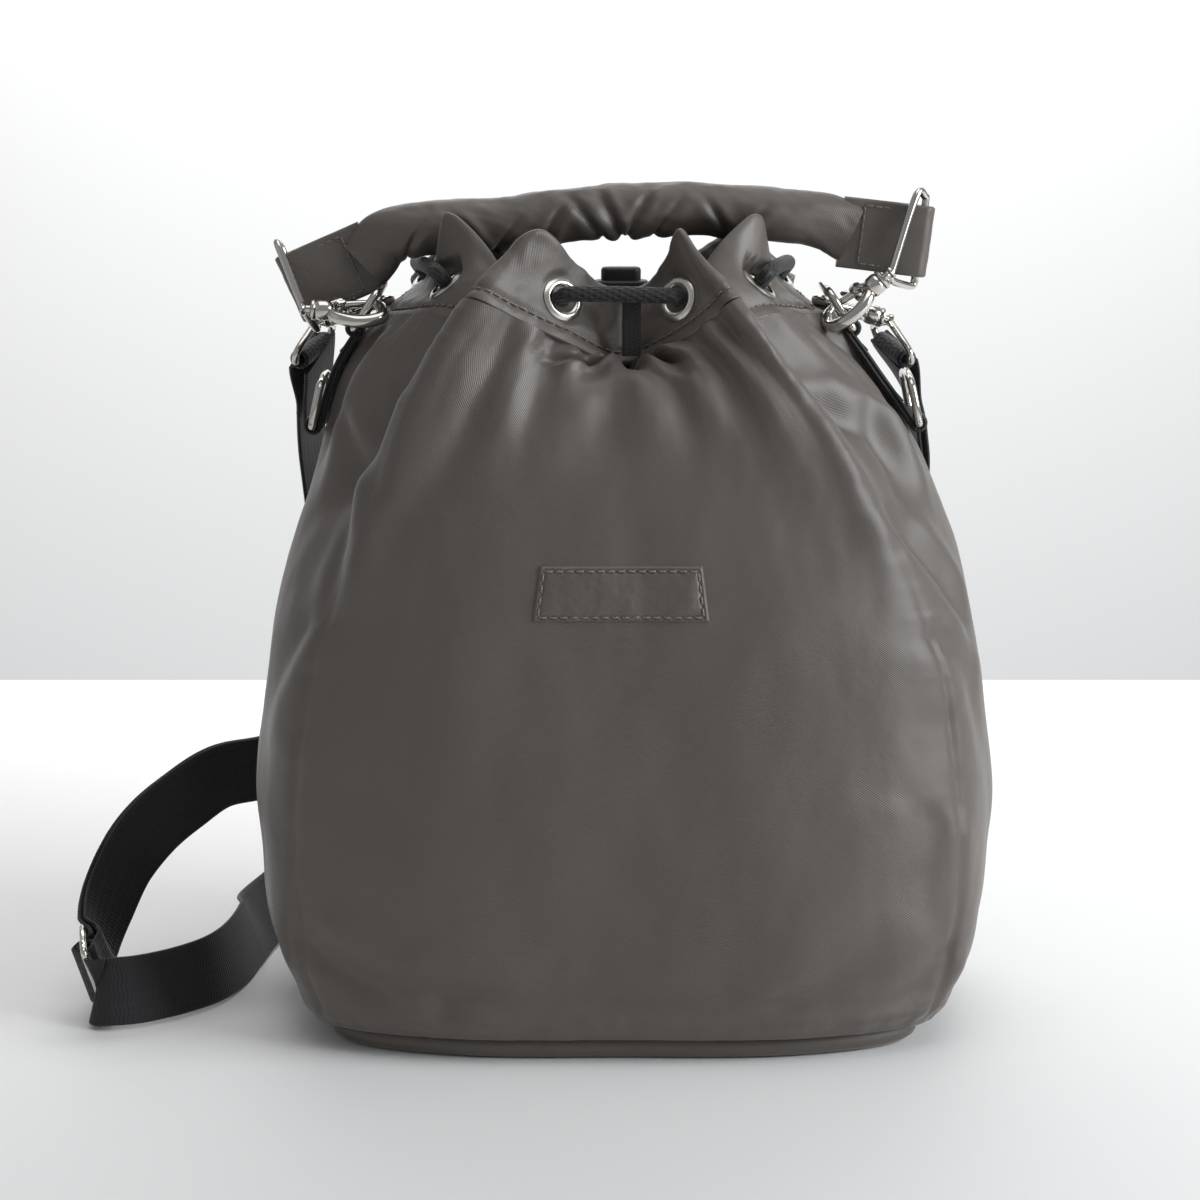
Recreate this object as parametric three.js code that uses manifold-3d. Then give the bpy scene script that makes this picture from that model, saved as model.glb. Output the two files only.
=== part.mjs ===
// Drawstring bucket bag of padded nylon twill, with a clip-on padded handle and a webbing shoulder strap.
// Millimetres, +Z up, the front faces -Y. The origin is the centre of the underside of the base.
import * as THREE from 'three';
import { mergeVertices } from 'three/addons/utils/BufferGeometryUtils.js';
import Module from 'manifold-3d';

const wasm = await Module();
wasm.setup();

// ---------------------------------------------------------------- driving dimensions
const BELLY_WIDTH = 270;
const BELLY_DEPTH = 164;
const SEAM_HEIGHT = 270;
const COLLAR_WIDTH = 30;
const FABRIC = 2.5;
const LINING = 0.8;
const GAP = 0.4;
const BASE_PAD = 7.6;
const BOARD = 1.6;
const CORD = 5.6;
const CORD_PLAY = 3.8;
const EYELET_BORE = CORD + CORD_PLAY;
const EYELET_RIM = 3.1;
const EYELET_FLANGE = EYELET_BORE + 2 * EYELET_RIM;
const EYELET_WALL = 0.6;
const WEBBING_WIDTH = 25;
const WEBBING = 1.5;
const RING_WIRE = 3;
const RING_HEIGHT = 18;
const HOOK_WIRE = 3.4;
const BAIL_WIRE = 2.8;
const BAIL_WIDTH = 31;
const HANDLE = 19;
const HANDLE_CORE = 9;
const HANDLE_TAB_WIDTH = 25;
const SLIDER_LENGTH = 33;

// ---------------------------------------------------------------- finishes
const finish = (color, roughness, metalness = 0) =>
  new THREE.MeshStandardMaterial({ color, roughness, metalness });
const TWILL = [0x5c5651, 0.62];
const LINING_CLOTH = [0x4e4a47, 0.7];
const BLACK_WEBBING = [0x17171a, 0.75];
const BLACK_PLASTIC = [0x141416, 0.45];
const NICKEL = [0xc9c5bd, 0.22, 1];
const BOARD_GREY = [0x2b2a29, 0.8];

const bag = new THREE.Group();

/** Adds a named piece to a group. */
function piece(name, geometry, look, parent = bag) {
  const mesh = new THREE.Mesh(geometry, finish(...look));
  mesh.name = name;
  parent.add(mesh);
  return mesh;
}

// ---------------------------------------------------------------- solids
/** Merges the shared corners of a closed geometry, drops its slivers and turns its faces outward. */
function tidySolid(geometry) {
  const bare = geometry.clone();
  bare.deleteAttribute('normal');
  bare.deleteAttribute('uv');
  const merged = mergeVertices(bare, 1e-4);
  const place = merged.attributes.position;
  const corners = [0, 1, 2].map(() => new THREE.Vector3());
  const kept = [];
  let volume = 0;
  for (let i = 0; i < merged.index.count; i += 3) {
    const face = [0, 1, 2].map((j) => merged.index.getX(i + j));
    if (face[0] === face[1] || face[1] === face[2] || face[2] === face[0]) continue;
    corners.forEach((corner, j) => corner.fromBufferAttribute(place, face[j]));
    volume += corners[0].dot(corners[1].clone().cross(corners[2]));
    kept.push(face);
  }
  merged.setIndex(kept.flatMap((face) => (volume < 0 ? [face[0], face[2], face[1]] : face)));
  return merged;
}

/** Makes a solid that can be joined and cut. */
function toSolid(geometry) {
  const closed = tidySolid(geometry);
  return new wasm.Manifold(new wasm.Mesh({
    numProp: 3,
    vertProperties: new Float32Array(closed.attributes.position.array),
    triVerts: new Uint32Array(closed.index.array),
  }));
}

/** Turns a joined or cut solid back into a geometry. */
function toGeometry(solid) {
  const mesh = solid.getMesh();
  const geometry = new THREE.BufferGeometry();
  geometry.setAttribute('position', new THREE.BufferAttribute(new Float32Array(mesh.vertProperties), 3));
  geometry.setIndex(Array.from(mesh.triVerts));
  return geometry;
}

/** Moves every vertex of a geometry to where shape(vertex) says. */
function remap(geometry, shape) {
  const place = geometry.attributes.position;
  const vertex = new THREE.Vector3();
  for (let i = 0; i < place.count; i += 1) {
    vertex.fromBufferAttribute(place, i);
    const moved = shape(vertex);
    place.setXYZ(i, moved.x, moved.y, moved.z);
  }
  return tidySolid(geometry);
}

/** A thick sheet: shape(a, b, c) places the unit block's point, with c from 0 outside to 1 inside. */
function sheet(acrossSteps, upSteps, shape) {
  const block = new THREE.BoxGeometry(1, 1, 1, acrossSteps, upSteps, 1);
  return remap(block, (p) => shape(p.x + 0.5, p.y + 0.5, 0.5 - p.z));
}

/** A closed ring whose cut face is the profile: shape(a, p, q) places the profile's point (p, q) at turn a. */
function ringSolid(steps, profile, shape) {
  const inner = 10;
  const lathe = new THREE.LatheGeometry(profile.map(([p, q]) => new THREE.Vector2(inner + p, q)), steps);
  return remap(lathe, (v) => {
    const turn = Math.atan2(v.x, v.z) / (2 * Math.PI);
    return shape(turn, Math.hypot(v.x, v.z) - inner, v.y);
  });
}

/** A round wire bent to a closed flat curve that lies in the XY plane. */
function wireRing(curve, wire, steps, sides = 8) {
  const ring = new THREE.TorusGeometry(10, 1, sides, steps);
  return remap(ring, (v) => {
    const turn = (Math.atan2(v.y, v.x) / (2 * Math.PI) + 1) % 1;
    const out = Math.hypot(v.x, v.y) - 10;
    const centre = curve.getPointAt(turn);
    const along = curve.getTangentAt(turn);
    return new THREE.Vector3(
      centre.x + along.y * out * wire / 2,
      centre.y - along.x * out * wire / 2,
      v.z * wire / 2,
    );
  });
}

/** A round rod along a curve. */
function rod(curve, wire, steps, sides = 8) {
  const section = new THREE.Shape(circlePoints(wire / 2, sides));
  return new THREE.ExtrudeGeometry(section, { steps, extrudePath: curve });
}

function circlePoints(radius, sides) {
  return Array.from({ length: sides }, (unused, i) => {
    const angle = (2 * Math.PI * i) / sides;
    return new THREE.Vector2(radius * Math.cos(angle), radius * Math.sin(angle));
  });
}

/** A turned piece about the line from one point towards another; profile points are (radius, along). */
function turned(profile, from, towards, steps = 12) {
  const lathe = new THREE.LatheGeometry(profile.map(([r, along]) => new THREE.Vector2(r, along)), steps);
  const direction = towards.clone().sub(from).normalize();
  lathe.applyQuaternion(new THREE.Quaternion().setFromUnitVectors(new THREE.Vector3(0, 1, 0), direction));
  return lathe.translate(from.x, from.y, from.z);
}

const at = (x, y, z) => new THREE.Vector3(x, y, z);
const through = (points, closed = false) => new THREE.CatmullRomCurve3(points, closed, 'catmullrom', 0.5);

// ---------------------------------------------------------------- the bag's form
// Each section is half of the outline from the front centre to the back centre, as nine stations
// [x, y, z] in shares of the half width, half depth and seam height; the other half mirrors it.
const HALF_X = BELLY_WIDTH / 2;
const HALF_Y = BELLY_DEPTH / 2;
const STATIONS = 16;

/** A section with the same front and back. */
const plain = (z, front, mid, corner, flank, side) => {
  const half = [[0, -front], [mid[0], -mid[1]], [corner[0], -corner[1]], [flank[0], -flank[1]], [side, 0]];
  const back = half.slice(0, 4).reverse().map(([x, y]) => [x, -y]);
  return [...half, ...back].map(([x, y]) => [x, y, z]);
};

const SECTIONS = [
  { shift: 0, points: plain(0.031, 0.905, [0.45, 0.89], [0.78, 0.71], [0.85, 0.37], 0.865) },
  { shift: 0, points: plain(0.13, 0.975, [0.49, 0.95], [0.86, 0.73], [0.955, 0.37], 0.975) },
  { shift: 0, points: plain(0.315, 1, [0.5, 0.975], [0.875, 0.73], [0.985, 0.37], 1) },
  { shift: 0, points: plain(0.5, 0.975, [0.475, 0.95], [0.83, 0.73], [0.95, 0.37], 0.97) },
  { shift: 0, points: plain(0.63, 0.93, [0.42, 0.915], [0.74, 0.75], [0.885, 0.35], 0.925) },
  { shift: -2, points: plain(0.78, 0.83, [0.34, 0.835], [0.615, 0.76], [0.755, 0.33], 0.81) },
  { shift: -7, points: plain(0.89, 0.69, [0.27, 0.735], [0.49, 0.72], [0.64, 0.32], 0.7) },
  {
    shift: -8,
    points: [
      [0, -0.5, 0.915], [0.18, -0.61, 0.952], [0.35, -0.67, 1], [0.49, -0.36, 0.974], [0.6, 0, 0.962],
      [0.57, 0.33, 0.975], [0.53, 0.55, 1], [0.29, 0.56, 0.952], [0, 0.46, 0.915],
    ],
  },
];
// The way the collar leans above the seam at each station.
const COLLAR_LEAN = [
  [0, 0.72, 0.69], [-0.3, 0.55, 0.78], [-0.57, 0.4, 0.72], [-0.72, 0.26, 0.64], [-0.85, 0, 0.53],
  [-0.8, -0.16, 0.58], [-0.62, -0.33, 0.71], [-0.45, -0.5, 0.74], [0, -0.72, 0.69],
];
// How much of a section's sideways shift each station takes.
const SHIFT_SHARE = [0.12, 0.25, 1, 1, 1, 1, 1, 0.25, 0.12];

/** The sixteen points of a section, right half then mirrored left half. */
function sectionPoints({ shift, points }) {
  const place = ([x, y, z], side, share) => at(
    side * x * HALF_X + shift * share,
    y * HALF_Y,
    z * SEAM_HEIGHT,
  );
  const right = points.map((point, i) => place(point, 1, SHIFT_SHARE[i]));
  const left = points.slice(1, 8).map((point, i) => place(point, -1, SHIFT_SHARE[i + 1])).reverse();
  return [...right, ...left];
}

const sectionCurves = SECTIONS.map((section) => through(sectionPoints(section), true));
const seamCurve = sectionCurves[sectionCurves.length - 1];
const leanPoints = [...COLLAR_LEAN, ...COLLAR_LEAN.slice(1, 8).reverse().map(([x, y, z]) => [-x, y, z])];
const leanCurve = through(leanPoints.map((lean) => at(...lean)), true);
const wrap = (u) => ((u % 1) + 1) % 1;

/** A point of the body's outer face: u runs once round from the front centre, v from the base to the seam. */
function bodyFace(u, v) {
  return through(sectionCurves.map((curve) => curve.getPoint(wrap(u)))).getPoint(Math.min(Math.max(v, 0), 1));
}

/** A point of the collar's outer face: v runs from the seam to the top edge. */
function collarFace(u, v) {
  const lean = leanCurve.getPoint(wrap(u)).normalize();
  return seamCurve.getPoint(wrap(u)).addScaledVector(lean, v * COLLAR_WIDTH);
}

/** The outward normal of a face at (u, v). */
function outward(face, u, v) {
  const step = 0.004;
  const low = Math.max(v - step, 0);
  const across = face(u + step, v).sub(face(u - step, v));
  const up = face(u, low + 2 * step).sub(face(u, low));
  return across.cross(up).normalize();
}

/** A point under a face, at a depth inside the cloth. */
const under = (face, u, v, depth) => face(u, v).addScaledVector(outward(face, u, v), -depth);

/** The share of the way up the body's side column at which the face reaches a height. */
function shareAtHeight(u, height) {
  let low = 0;
  let high = 1;
  for (let i = 0; i < 30; i += 1) {
    const middle = (low + high) / 2;
    if (bodyFace(u, middle).z < height) low = middle;
    else high = middle;
  }
  return low;
}

// ---------------------------------------------------------------- cloth pieces
const SEAM_GAP = 0.0006;
const SEAM_EDGE = 0.008;
const PANEL_ROWS = 9;
const PANEL_COLUMNS = 8;
const panels = [['front_panel', -2], ['right_gusset', 2], ['back_panel', 6], ['left_gusset', 10]];
for (const [name, station] of panels) {
  const from = station / STATIONS + SEAM_GAP;
  const width = 4 / STATIONS - 2 * SEAM_GAP;
  const cloth = sheet(PANEL_COLUMNS, PANEL_ROWS, (a, b, c) =>
    under(bodyFace, from + a * width, b * (1 - SEAM_EDGE), c * FABRIC));
  piece(name, cloth, TWILL);
}

const COLLAR_ROWS = 2;
const rows = Array.from({ length: COLLAR_ROWS + 1 }, (unused, i) => i / COLLAR_ROWS);
const collarProfile = [
  ...rows.map((v) => [0, v]),
  ...rows.slice().reverse().map((v) => [-1, v]),
  [0, 0],
];
const collarFoot = 0.08;
const collarRing = ringSolid(48, collarProfile, (u, p, v) => (
  under(collarFace, u, collarFoot + v * (1 - collarFoot), -p * FABRIC)
));

/** The middle of each eyelet and the way it faces. */
const eyelets = Array.from({ length: STATIONS / 2 }, (unused, i) => {
  const u = (2 * i + 1) / STATIONS;
  const normal = outward(collarFace, u, 0.5);
  return { middle: collarFace(u, 0.5).addScaledVector(normal, -FABRIC / 2), normal };
});
const EYELET_BARREL = EYELET_BORE + 2 * EYELET_WALL;
const CLAMPED = FABRIC / 2 - 0.2;
const FLANGE_LIFT = CLAMPED + GAP;
const disc = (radius, low, high) => [[0, low], [radius, low], [radius, high], [0, high]];

// The cloth is bored for each eyelet and pressed flat under its flanges.
let collar = toSolid(collarRing);
for (const { middle, normal } of eyelets) {
  const ahead = middle.clone().add(normal);
  const seat = EYELET_FLANGE / 2 + 1;
  collar = collar
    .subtract(toSolid(turned(disc(EYELET_BARREL / 2 + GAP, -8, 8), middle, ahead)))
    .subtract(toSolid(turned(disc(seat, CLAMPED, 6), middle, ahead, 10)))
    .subtract(toSolid(turned(disc(seat, -6, -CLAMPED), middle, ahead, 10)));
}
piece('collar', toGeometry(collar), TWILL);

// The eyelets: a bore, a crowned flange that lies on the outside and another on the inside.
eyelets.forEach(({ middle, normal }, i) => {
  const bore = EYELET_BORE / 2;
  const barrel = EYELET_BARREL / 2;
  const flange = EYELET_FLANGE / 2;
  const crown = FLANGE_LIFT + 0.9;
  const side = [
    [barrel, FLANGE_LIFT], [flange, FLANGE_LIFT], [bore + 1.4, crown], [bore, FLANGE_LIFT + 0.3],
  ];
  const profile = [...side, ...side.slice().reverse().map(([r, along]) => [r, -along]), side[0]];
  piece(`eyelet_${i + 1}`, turned(profile, middle, middle.clone().add(normal), 12), NICKEL);
});

/** A closed cup or pad: each layer gives the point at turn u; the first and last layers are single points. */
function layeredSolid(steps, first, layers, last) {
  const profile = [[0, 0], ...layers.map((unused, i) => [10, i + 1]), [0, layers.length + 1]];
  const lathe = new THREE.LatheGeometry(profile.map(([r, q]) => new THREE.Vector2(r, q)), steps);
  return remap(lathe, (p) => {
    const layer = Math.round(p.y);
    if (layer === 0) return first.clone();
    if (layer > layers.length) return last.clone();
    return layers[layer - 1](Math.atan2(p.x, p.z) / (2 * Math.PI));
  });
}

/** A layer that is the base outline, drawn in or out by a share, at a height. */
const baseOutline = (share, height) => (u) => {
  const edge = sectionCurves[0].getPoint(wrap(u));
  return at(edge.x * share, edge.y * share, height);
};

piece('base_pad', layeredSolid(40, at(0, 0, 0), [
  baseOutline(0.5, 0), baseOutline(0.93, 0), baseOutline(0.985, BASE_PAD * 0.3),
  baseOutline(1, BASE_PAD * 0.65), baseOutline(0.985, BASE_PAD),
], at(0, 0, BASE_PAD)), TWILL);

const BOARD_INSET = 0.9;
const boardFoot = BASE_PAD + GAP;
const boardTop = boardFoot + BOARD;
piece('base_board', layeredSolid(32, at(0, 0, boardFoot), [
  baseOutline(BOARD_INSET, boardFoot), baseOutline(BOARD_INSET, boardTop),
], at(0, 0, boardTop)), BOARD_GREY);

const LINING_CLEARANCE = 1.6;
const liningRise = [
  0.03,
  ...Array.from({ length: PANEL_ROWS }, (unused, i) => ((i + 1) / PANEL_ROWS) * (1 - SEAM_EDGE)),
];
const liningDepth = FABRIC + LINING_CLEARANCE;
const liningFoot = boardTop + GAP;
const liningWall = (v, depth) => (u) => under(bodyFace, u, v, depth);
piece('lining', layeredSolid(4 * PANEL_COLUMNS, at(0, 0, liningFoot), [
  baseOutline(0.7, liningFoot),
  ...liningRise.map((v) => liningWall(v, liningDepth)),
  ...liningRise.slice().reverse().map((v) => liningWall(v, liningDepth + LINING)),
  baseOutline(0.7, liningFoot + LINING),
], at(0, 0, liningFoot + LINING)), LINING_CLOTH);

// The blank patch stitched on the front panel.
const LABEL_WIDTH = 57;
const LABEL_HEIGHT = 19;
const LABEL_CENTRE_HEIGHT = 170;
const LABEL_CLOTH = 0.8;
const labelShare = shareAtHeight(0, LABEL_CENTRE_HEIGHT);
const labelTurn = LABEL_WIDTH / (bodyFace(1 / STATIONS, labelShare).x * STATIONS);
const labelRise = shareAtHeight(0, LABEL_CENTRE_HEIGHT + LABEL_HEIGHT / 2)
  - shareAtHeight(0, LABEL_CENTRE_HEIGHT - LABEL_HEIGHT / 2);
piece('label_patch', sheet(6, 2, (a, b, c) => (
  under(bodyFace, (a - 0.53) * labelTurn, labelShare + (b - 0.5) * labelRise, c * LABEL_CLOTH - LABEL_CLOTH - GAP)
)), TWILL);

// ---------------------------------------------------------------- side tabs and D-rings
const TAB_TOP = 253;
const TAB_FOOT = 219;
const LOOP_BORE = RING_WIRE / 2 + GAP;
const LOOP_OUTER = LOOP_BORE + WEBBING;
const RING_LEAN = 33;
const RING_REST = 12;
const RING_HALF = WEBBING_WIDTH / 2 + 2.5;
const TAB_LIFT = 1.2;
const degrees = (angle) => (angle * Math.PI) / 180;

/** A D-ring in its own plane: the bar lies along X and the bow reaches up Y. */
function ringCurve() {
  const half = RING_HALF;
  const bow = RING_HEIGHT;
  const right = [[half * 0.86, 0], [half * 0.98, bow * 0.1], [half, bow * 0.5], [half * 0.84, bow * 0.86]];
  const left = right.slice().reverse().map(([x, y]) => [-x, y]);
  return through([[0, 0], ...right, [0, bow], ...left].map(([x, y]) => at(x, y, 0)), true);
}

/** A cylinder that lies along Y. */
const crossBar = (radius, length, middle, steps = 12) => turned(
  disc(radius, -length / 2, length / 2), middle, middle.clone().add(at(0, 1, 0)), steps,
);

const sides = [{ name: 'left', sign: -1, station: 12 }, { name: 'right', sign: 1, station: 4 }];
for (const side of sides) {
  const u = side.station / STATIONS;
  /** A point that stands off the side of the bag at a height. */
  const standOff = (height, distance) => {
    const v = shareAtHeight(u, height);
    return under(bodyFace, u, v, -distance);
  };
  const tabDepth = 2 * WEBBING;
  const strip = sheet(1, 6, (a, b, c) => {
    const edge = standOff(TAB_FOOT + b * (TAB_TOP - TAB_FOOT), TAB_LIFT + (1 - c) * tabDepth);
    return at(edge.x, side.sign * (a - 0.5) * WEBBING_WIDTH, edge.z);
  });
  const loops = [TAB_TOP, TAB_FOOT].map((height) => standOff(height, LOOP_OUTER + TAB_LIFT).setY(0));
  let tab = toSolid(strip);
  for (const middle of loops) tab = tab.add(toSolid(crossBar(LOOP_OUTER, WEBBING_WIDTH, middle)));
  for (const middle of loops) tab = tab.subtract(toSolid(crossBar(LOOP_BORE, WEBBING_WIDTH + 2, middle)));
  piece(`${side.name}_side_tab`, toGeometry(tab), BLACK_WEBBING);

  [['upper', loops[0], RING_LEAN], ['lower', loops[1], RING_REST]].forEach(([level, middle, lean]) => {
    const ring = piece(`${side.name}_${level}_ring`, wireRing(ringCurve(), RING_WIRE, 22, 6), NICKEL);
    const up = at(-side.sign * Math.sin(degrees(lean)), 0, Math.cos(degrees(lean)));
    const across = at(0, 1, 0);
    const basis = new THREE.Matrix4().makeBasis(across, up, across.clone().cross(up));
    ring.setRotationFromMatrix(basis);
    ring.position.copy(middle);
  });
  side.bar = loops[0];
  side.up = at(-side.sign * Math.sin(degrees(RING_LEAN)), 0, Math.cos(degrees(RING_LEAN)));
}

// ---------------------------------------------------------------- swivel snap hooks
const HOOK_REACH = 26;
const GATE_WIRE = 2.4;
const PIVOT = at(10.4, 0, 3.5);
const PIN = 1.5;
const CHEEK = 2.4;
const NECK = at(-2.6, 0, 0);
const BARREL = 3.4;
const STEM = 1.5;
const HOOK_SLACK = 3.5;
const GRIP = HOOK_REACH - HOOK_WIRE / 2 - RING_WIRE / 2 - HOOK_SLACK;
const LEG_HEIGHT = RING_HEIGHT * 0.4;

/** The hook's body in its own frame: the swivel at the origin, the nose along X, the gate on the +Z side. */
function hookBody() {
  const barrel = [
    [0, 4.6], [STEM + GAP, 4.6], [STEM + GAP, 0], [BARREL - 0.4, 0],
    [BARREL, 0.8], [BARREL, 6.5], [2.2, 8.6], [0, 8.6],
  ];
  const spine = through([
    at(6.4, 0, -0.4), at(10, 0, -4.2), at(15.5, 0, -5.8), at(21, 0, -5.3), at(HOOK_REACH - 0.7, 0, -2.8),
    at(HOOK_REACH, 0, 0.8), at(24.3, 0, 4.4), at(21.2, 0, 5.9),
  ]);
  const cheeks = [-1, 1].flatMap((sign) => {
    const eye = PIVOT.clone().setY(sign * 2.1);
    return [crossBar(CHEEK, 1, eye, 10), rod(new THREE.LineCurve3(at(6, sign * 2.1, 0.8), eye), 1.3, 1)];
  });
  return [rod(spine, HOOK_WIRE, 10, 6), ...cheeks]
    .reduce((body, part) => body.add(toSolid(part)), toSolid(turned(barrel, at(0, 0, 0), at(1, 0, 0))))
    .subtract(toSolid(crossBar(PIN / 2 + GAP * 0.75, 8, PIVOT)));
}

/** The sprung gate with its thumb lever. */
function hookGate() {
  const arm = rod(new THREE.LineCurve3(PIVOT, at(20.3, 0, 5.9)), GATE_WIRE, 1);
  const root = crossBar(1.7, 2.4, PIVOT);
  const lever = rod(new THREE.LineCurve3(at(12.6, 0, 4.2), at(14.6, 0, 8.2)), 2, 1);
  const joined = toSolid(arm).add(toSolid(root)).add(toSolid(lever));
  return joined.subtract(toSolid(crossBar(PIN / 2 + GAP * 0.75, 8, PIVOT)));
}

/** The bail: a wire loop from the swivel stem round a straight bar between two ends. */
function hookBail(barFrom, barTo) {
  const across = barTo.clone().sub(barFrom).normalize();
  const middle = barFrom.clone().add(barTo).multiplyScalar(0.5).sub(NECK);
  const away = middle.clone().addScaledVector(across, -middle.dot(across)).normalize();
  const flat = (p) => at(p.dot(across), p.dot(away), 0);
  const [from, to] = [barFrom, barTo].map((end) => flat(end.clone().sub(NECK)));
  const reach = from.y;
  const curve = through([
    at(0, 0.6, 0), at(2.6, 1.6, 0), at(to.x + 0.4, reach * 0.6, 0), at(to.x + 0.7, reach - 1, 0),
    at(to.x - 1.6, reach, 0), at(to.x / 2, reach, 0), at(from.x / 2, reach, 0), at(from.x + 1.6, reach, 0),
    at(from.x - 0.7, reach - 1, 0), at(from.x - 0.4, reach * 0.6, 0), at(-2.6, 1.6, 0),
  ], true);
  const ring = wireRing(curve, BAIL_WIRE, 24, 6);
  ring.applyMatrix4(new THREE.Matrix4().makeBasis(across, away, across.clone().cross(away)).setPosition(NECK));
  const stem = turned(disc(STEM, NECK.x - 1, 4), at(0, 0, 0), at(1, 0, 0), 10);
  return toSolid(ring).add(toSolid(stem));
}

/** Places a snap hook on a D-ring's leg; gives the group it was built in. */
function snapHook(name, legY, side, nose, gateUp, barMiddle, barWay) {
  const grip = side.bar.clone().addScaledVector(side.up, LEG_HEIGHT).setY(legY);
  const along = nose.clone().normalize();
  const gate = gateUp.clone().addScaledVector(along, -gateUp.dot(along)).normalize();
  const hook = new THREE.Group();
  hook.setRotationFromMatrix(new THREE.Matrix4().makeBasis(along, gate.clone().cross(along), gate));
  hook.position.copy(grip).addScaledVector(along, -GRIP);
  hook.updateMatrixWorld(true);
  bag.add(hook);
  piece(`${name}_hook_body`, toGeometry(hookBody()), NICKEL, hook);
  piece(`${name}_hook_gate`, toGeometry(hookGate()), NICKEL, hook);
  piece(`${name}_hook_pin`, crossBar(PIN / 2, 5.6, PIVOT, 10), NICKEL, hook);
  const half = barWay.clone().normalize().multiplyScalar(BAIL_WIDTH / 2);
  const ends = [barMiddle.clone().sub(half), barMiddle.clone().add(half)].map((end) => hook.worldToLocal(end));
  piece(`${name}_hook_bail`, toGeometry(hookBail(...ends)), NICKEL, hook);
  return hook;
}

const [left, right] = sides;
const HANDLE_Y = -3;
const HANDLE_LEFT = at(-118, HANDLE_Y, 270);
const HANDLE_RIGHT = at(106.5, HANDLE_Y, 286.3);
const LEFT_BAR_WAY = at(0.4, 0, -0.92);
const RIGHT_BAR_WAY = at(-0.12, 0, -1);
const FRONT_LEG = -RING_HALF;
const REAR_LEG = RING_HALF;
snapHook('left_handle', FRONT_LEG, left, at(1, 0, -0.06), at(0, 0.87, 0.5), HANDLE_LEFT, LEFT_BAR_WAY);
snapHook('right_handle', FRONT_LEG, right, at(-0.77, 0, -0.64), at(-0.3, 0.87, 0.4), HANDLE_RIGHT, RIGHT_BAR_WAY);

// ---------------------------------------------------------------- padded handle
const TAB_BORE = BAIL_WIRE / 2 + 2 * GAP;
const TAB_SKIN = 1.6;
const TAB_LENGTH = 20;

/** The flat end tab: it folds round the bail's bar and runs towards the padded tube. */
function handleTab(name, bar, barWay, towards) {
  const across = barWay.clone().normalize();
  const along = towards.clone().sub(bar);
  along.addScaledVector(across, -along.dot(across)).normalize();
  const outer = TAB_BORE + TAB_SKIN;
  const flat = new THREE.BoxGeometry(TAB_LENGTH, 2 * TAB_SKIN + 1, HANDLE_TAB_WIDTH)
    .translate(TAB_LENGTH / 2, 0, 0);
  const bent = (radius, length) => turned(disc(radius, -length / 2, length / 2), at(0, 0, 0), at(0, 0, 1), 14);
  const solid = toSolid(flat)
    .add(toSolid(bent(outer, HANDLE_TAB_WIDTH)))
    .subtract(toSolid(bent(TAB_BORE, HANDLE_TAB_WIDTH + 2)));
  const tab = piece(name, toGeometry(solid), TWILL);
  tab.setRotationFromMatrix(new THREE.Matrix4().makeBasis(along, across.clone().cross(along), across));
  tab.position.copy(bar);
  return bar.clone().addScaledVector(along, TAB_LENGTH + GAP);
}

const handleTop = [
  [-84, 292], [-62, 293], [-41, 293], [-20, 295.6],
  [6, 297.8], [34, 297.4], [58, 295.3], [72, 293.3],
].map(([x, z]) => at(x, HANDLE_Y, z));
const tubeFrom = handleTab('left_handle_tab', HANDLE_LEFT, LEFT_BAR_WAY, handleTop[0]);
const tubeTo = handleTab('right_handle_tab', HANDLE_RIGHT, RIGHT_BAR_WAY, handleTop[handleTop.length - 1]);
const TUBE_INSET = 4.9;
const endGap = HANDLE / 2 - TUBE_INSET;
tubeFrom.x += endGap;
tubeTo.x -= endGap;
const handleCurve = through([tubeFrom, ...handleTop, tubeTo]);
const sleeveSection = new THREE.Shape(circlePoints(HANDLE / 2, 12));
sleeveSection.holes.push(new THREE.Path(circlePoints(HANDLE_CORE / 2 + GAP, 10)));
piece('handle_sleeve', new THREE.ExtrudeGeometry(sleeveSection, { steps: 14, extrudePath: handleCurve }), TWILL);
piece('handle_core', rod(handleCurve, HANDLE_CORE, 14), BLACK_PLASTIC);

// ---------------------------------------------------------------- shoulder strap
const rearHook = { gate: at(0.1, -0.87, 0.05), drop: at(0.35, 0.42, -0.85), reach: 15 };

/** Hangs a strap hook on a D-ring's rear leg; gives the middle of its bail's bar. */
function strapHook(name, side, nose, barWay) {
  const grip = side.bar.clone().addScaledVector(side.up, LEG_HEIGHT).setY(REAR_LEG);
  const drop = rearHook.drop.clone().multiply(at(side.sign, 1, 1)).normalize();
  const bar = grip.addScaledVector(nose.clone().normalize(), -GRIP).addScaledVector(drop, rearHook.reach);
  const gate = rearHook.gate.clone().multiply(at(side.sign, 1, 1));
  snapHook(name, REAR_LEG, side, nose, gate, bar, barWay);
  return bar;
}

const RIGHT_STRAP_WAY = at(-0.3, 0.92, 0.19);
const LEFT_STRAP_WAY = at(0.3, 0.92, 0.19);
const rightBar = strapHook('right_strap', right, at(-0.93, -0.25, 0.27), RIGHT_STRAP_WAY);
const leftBar = strapHook('left_strap', left, at(0.93, -0.25, 0.27), LEFT_STRAP_WAY);

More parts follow.
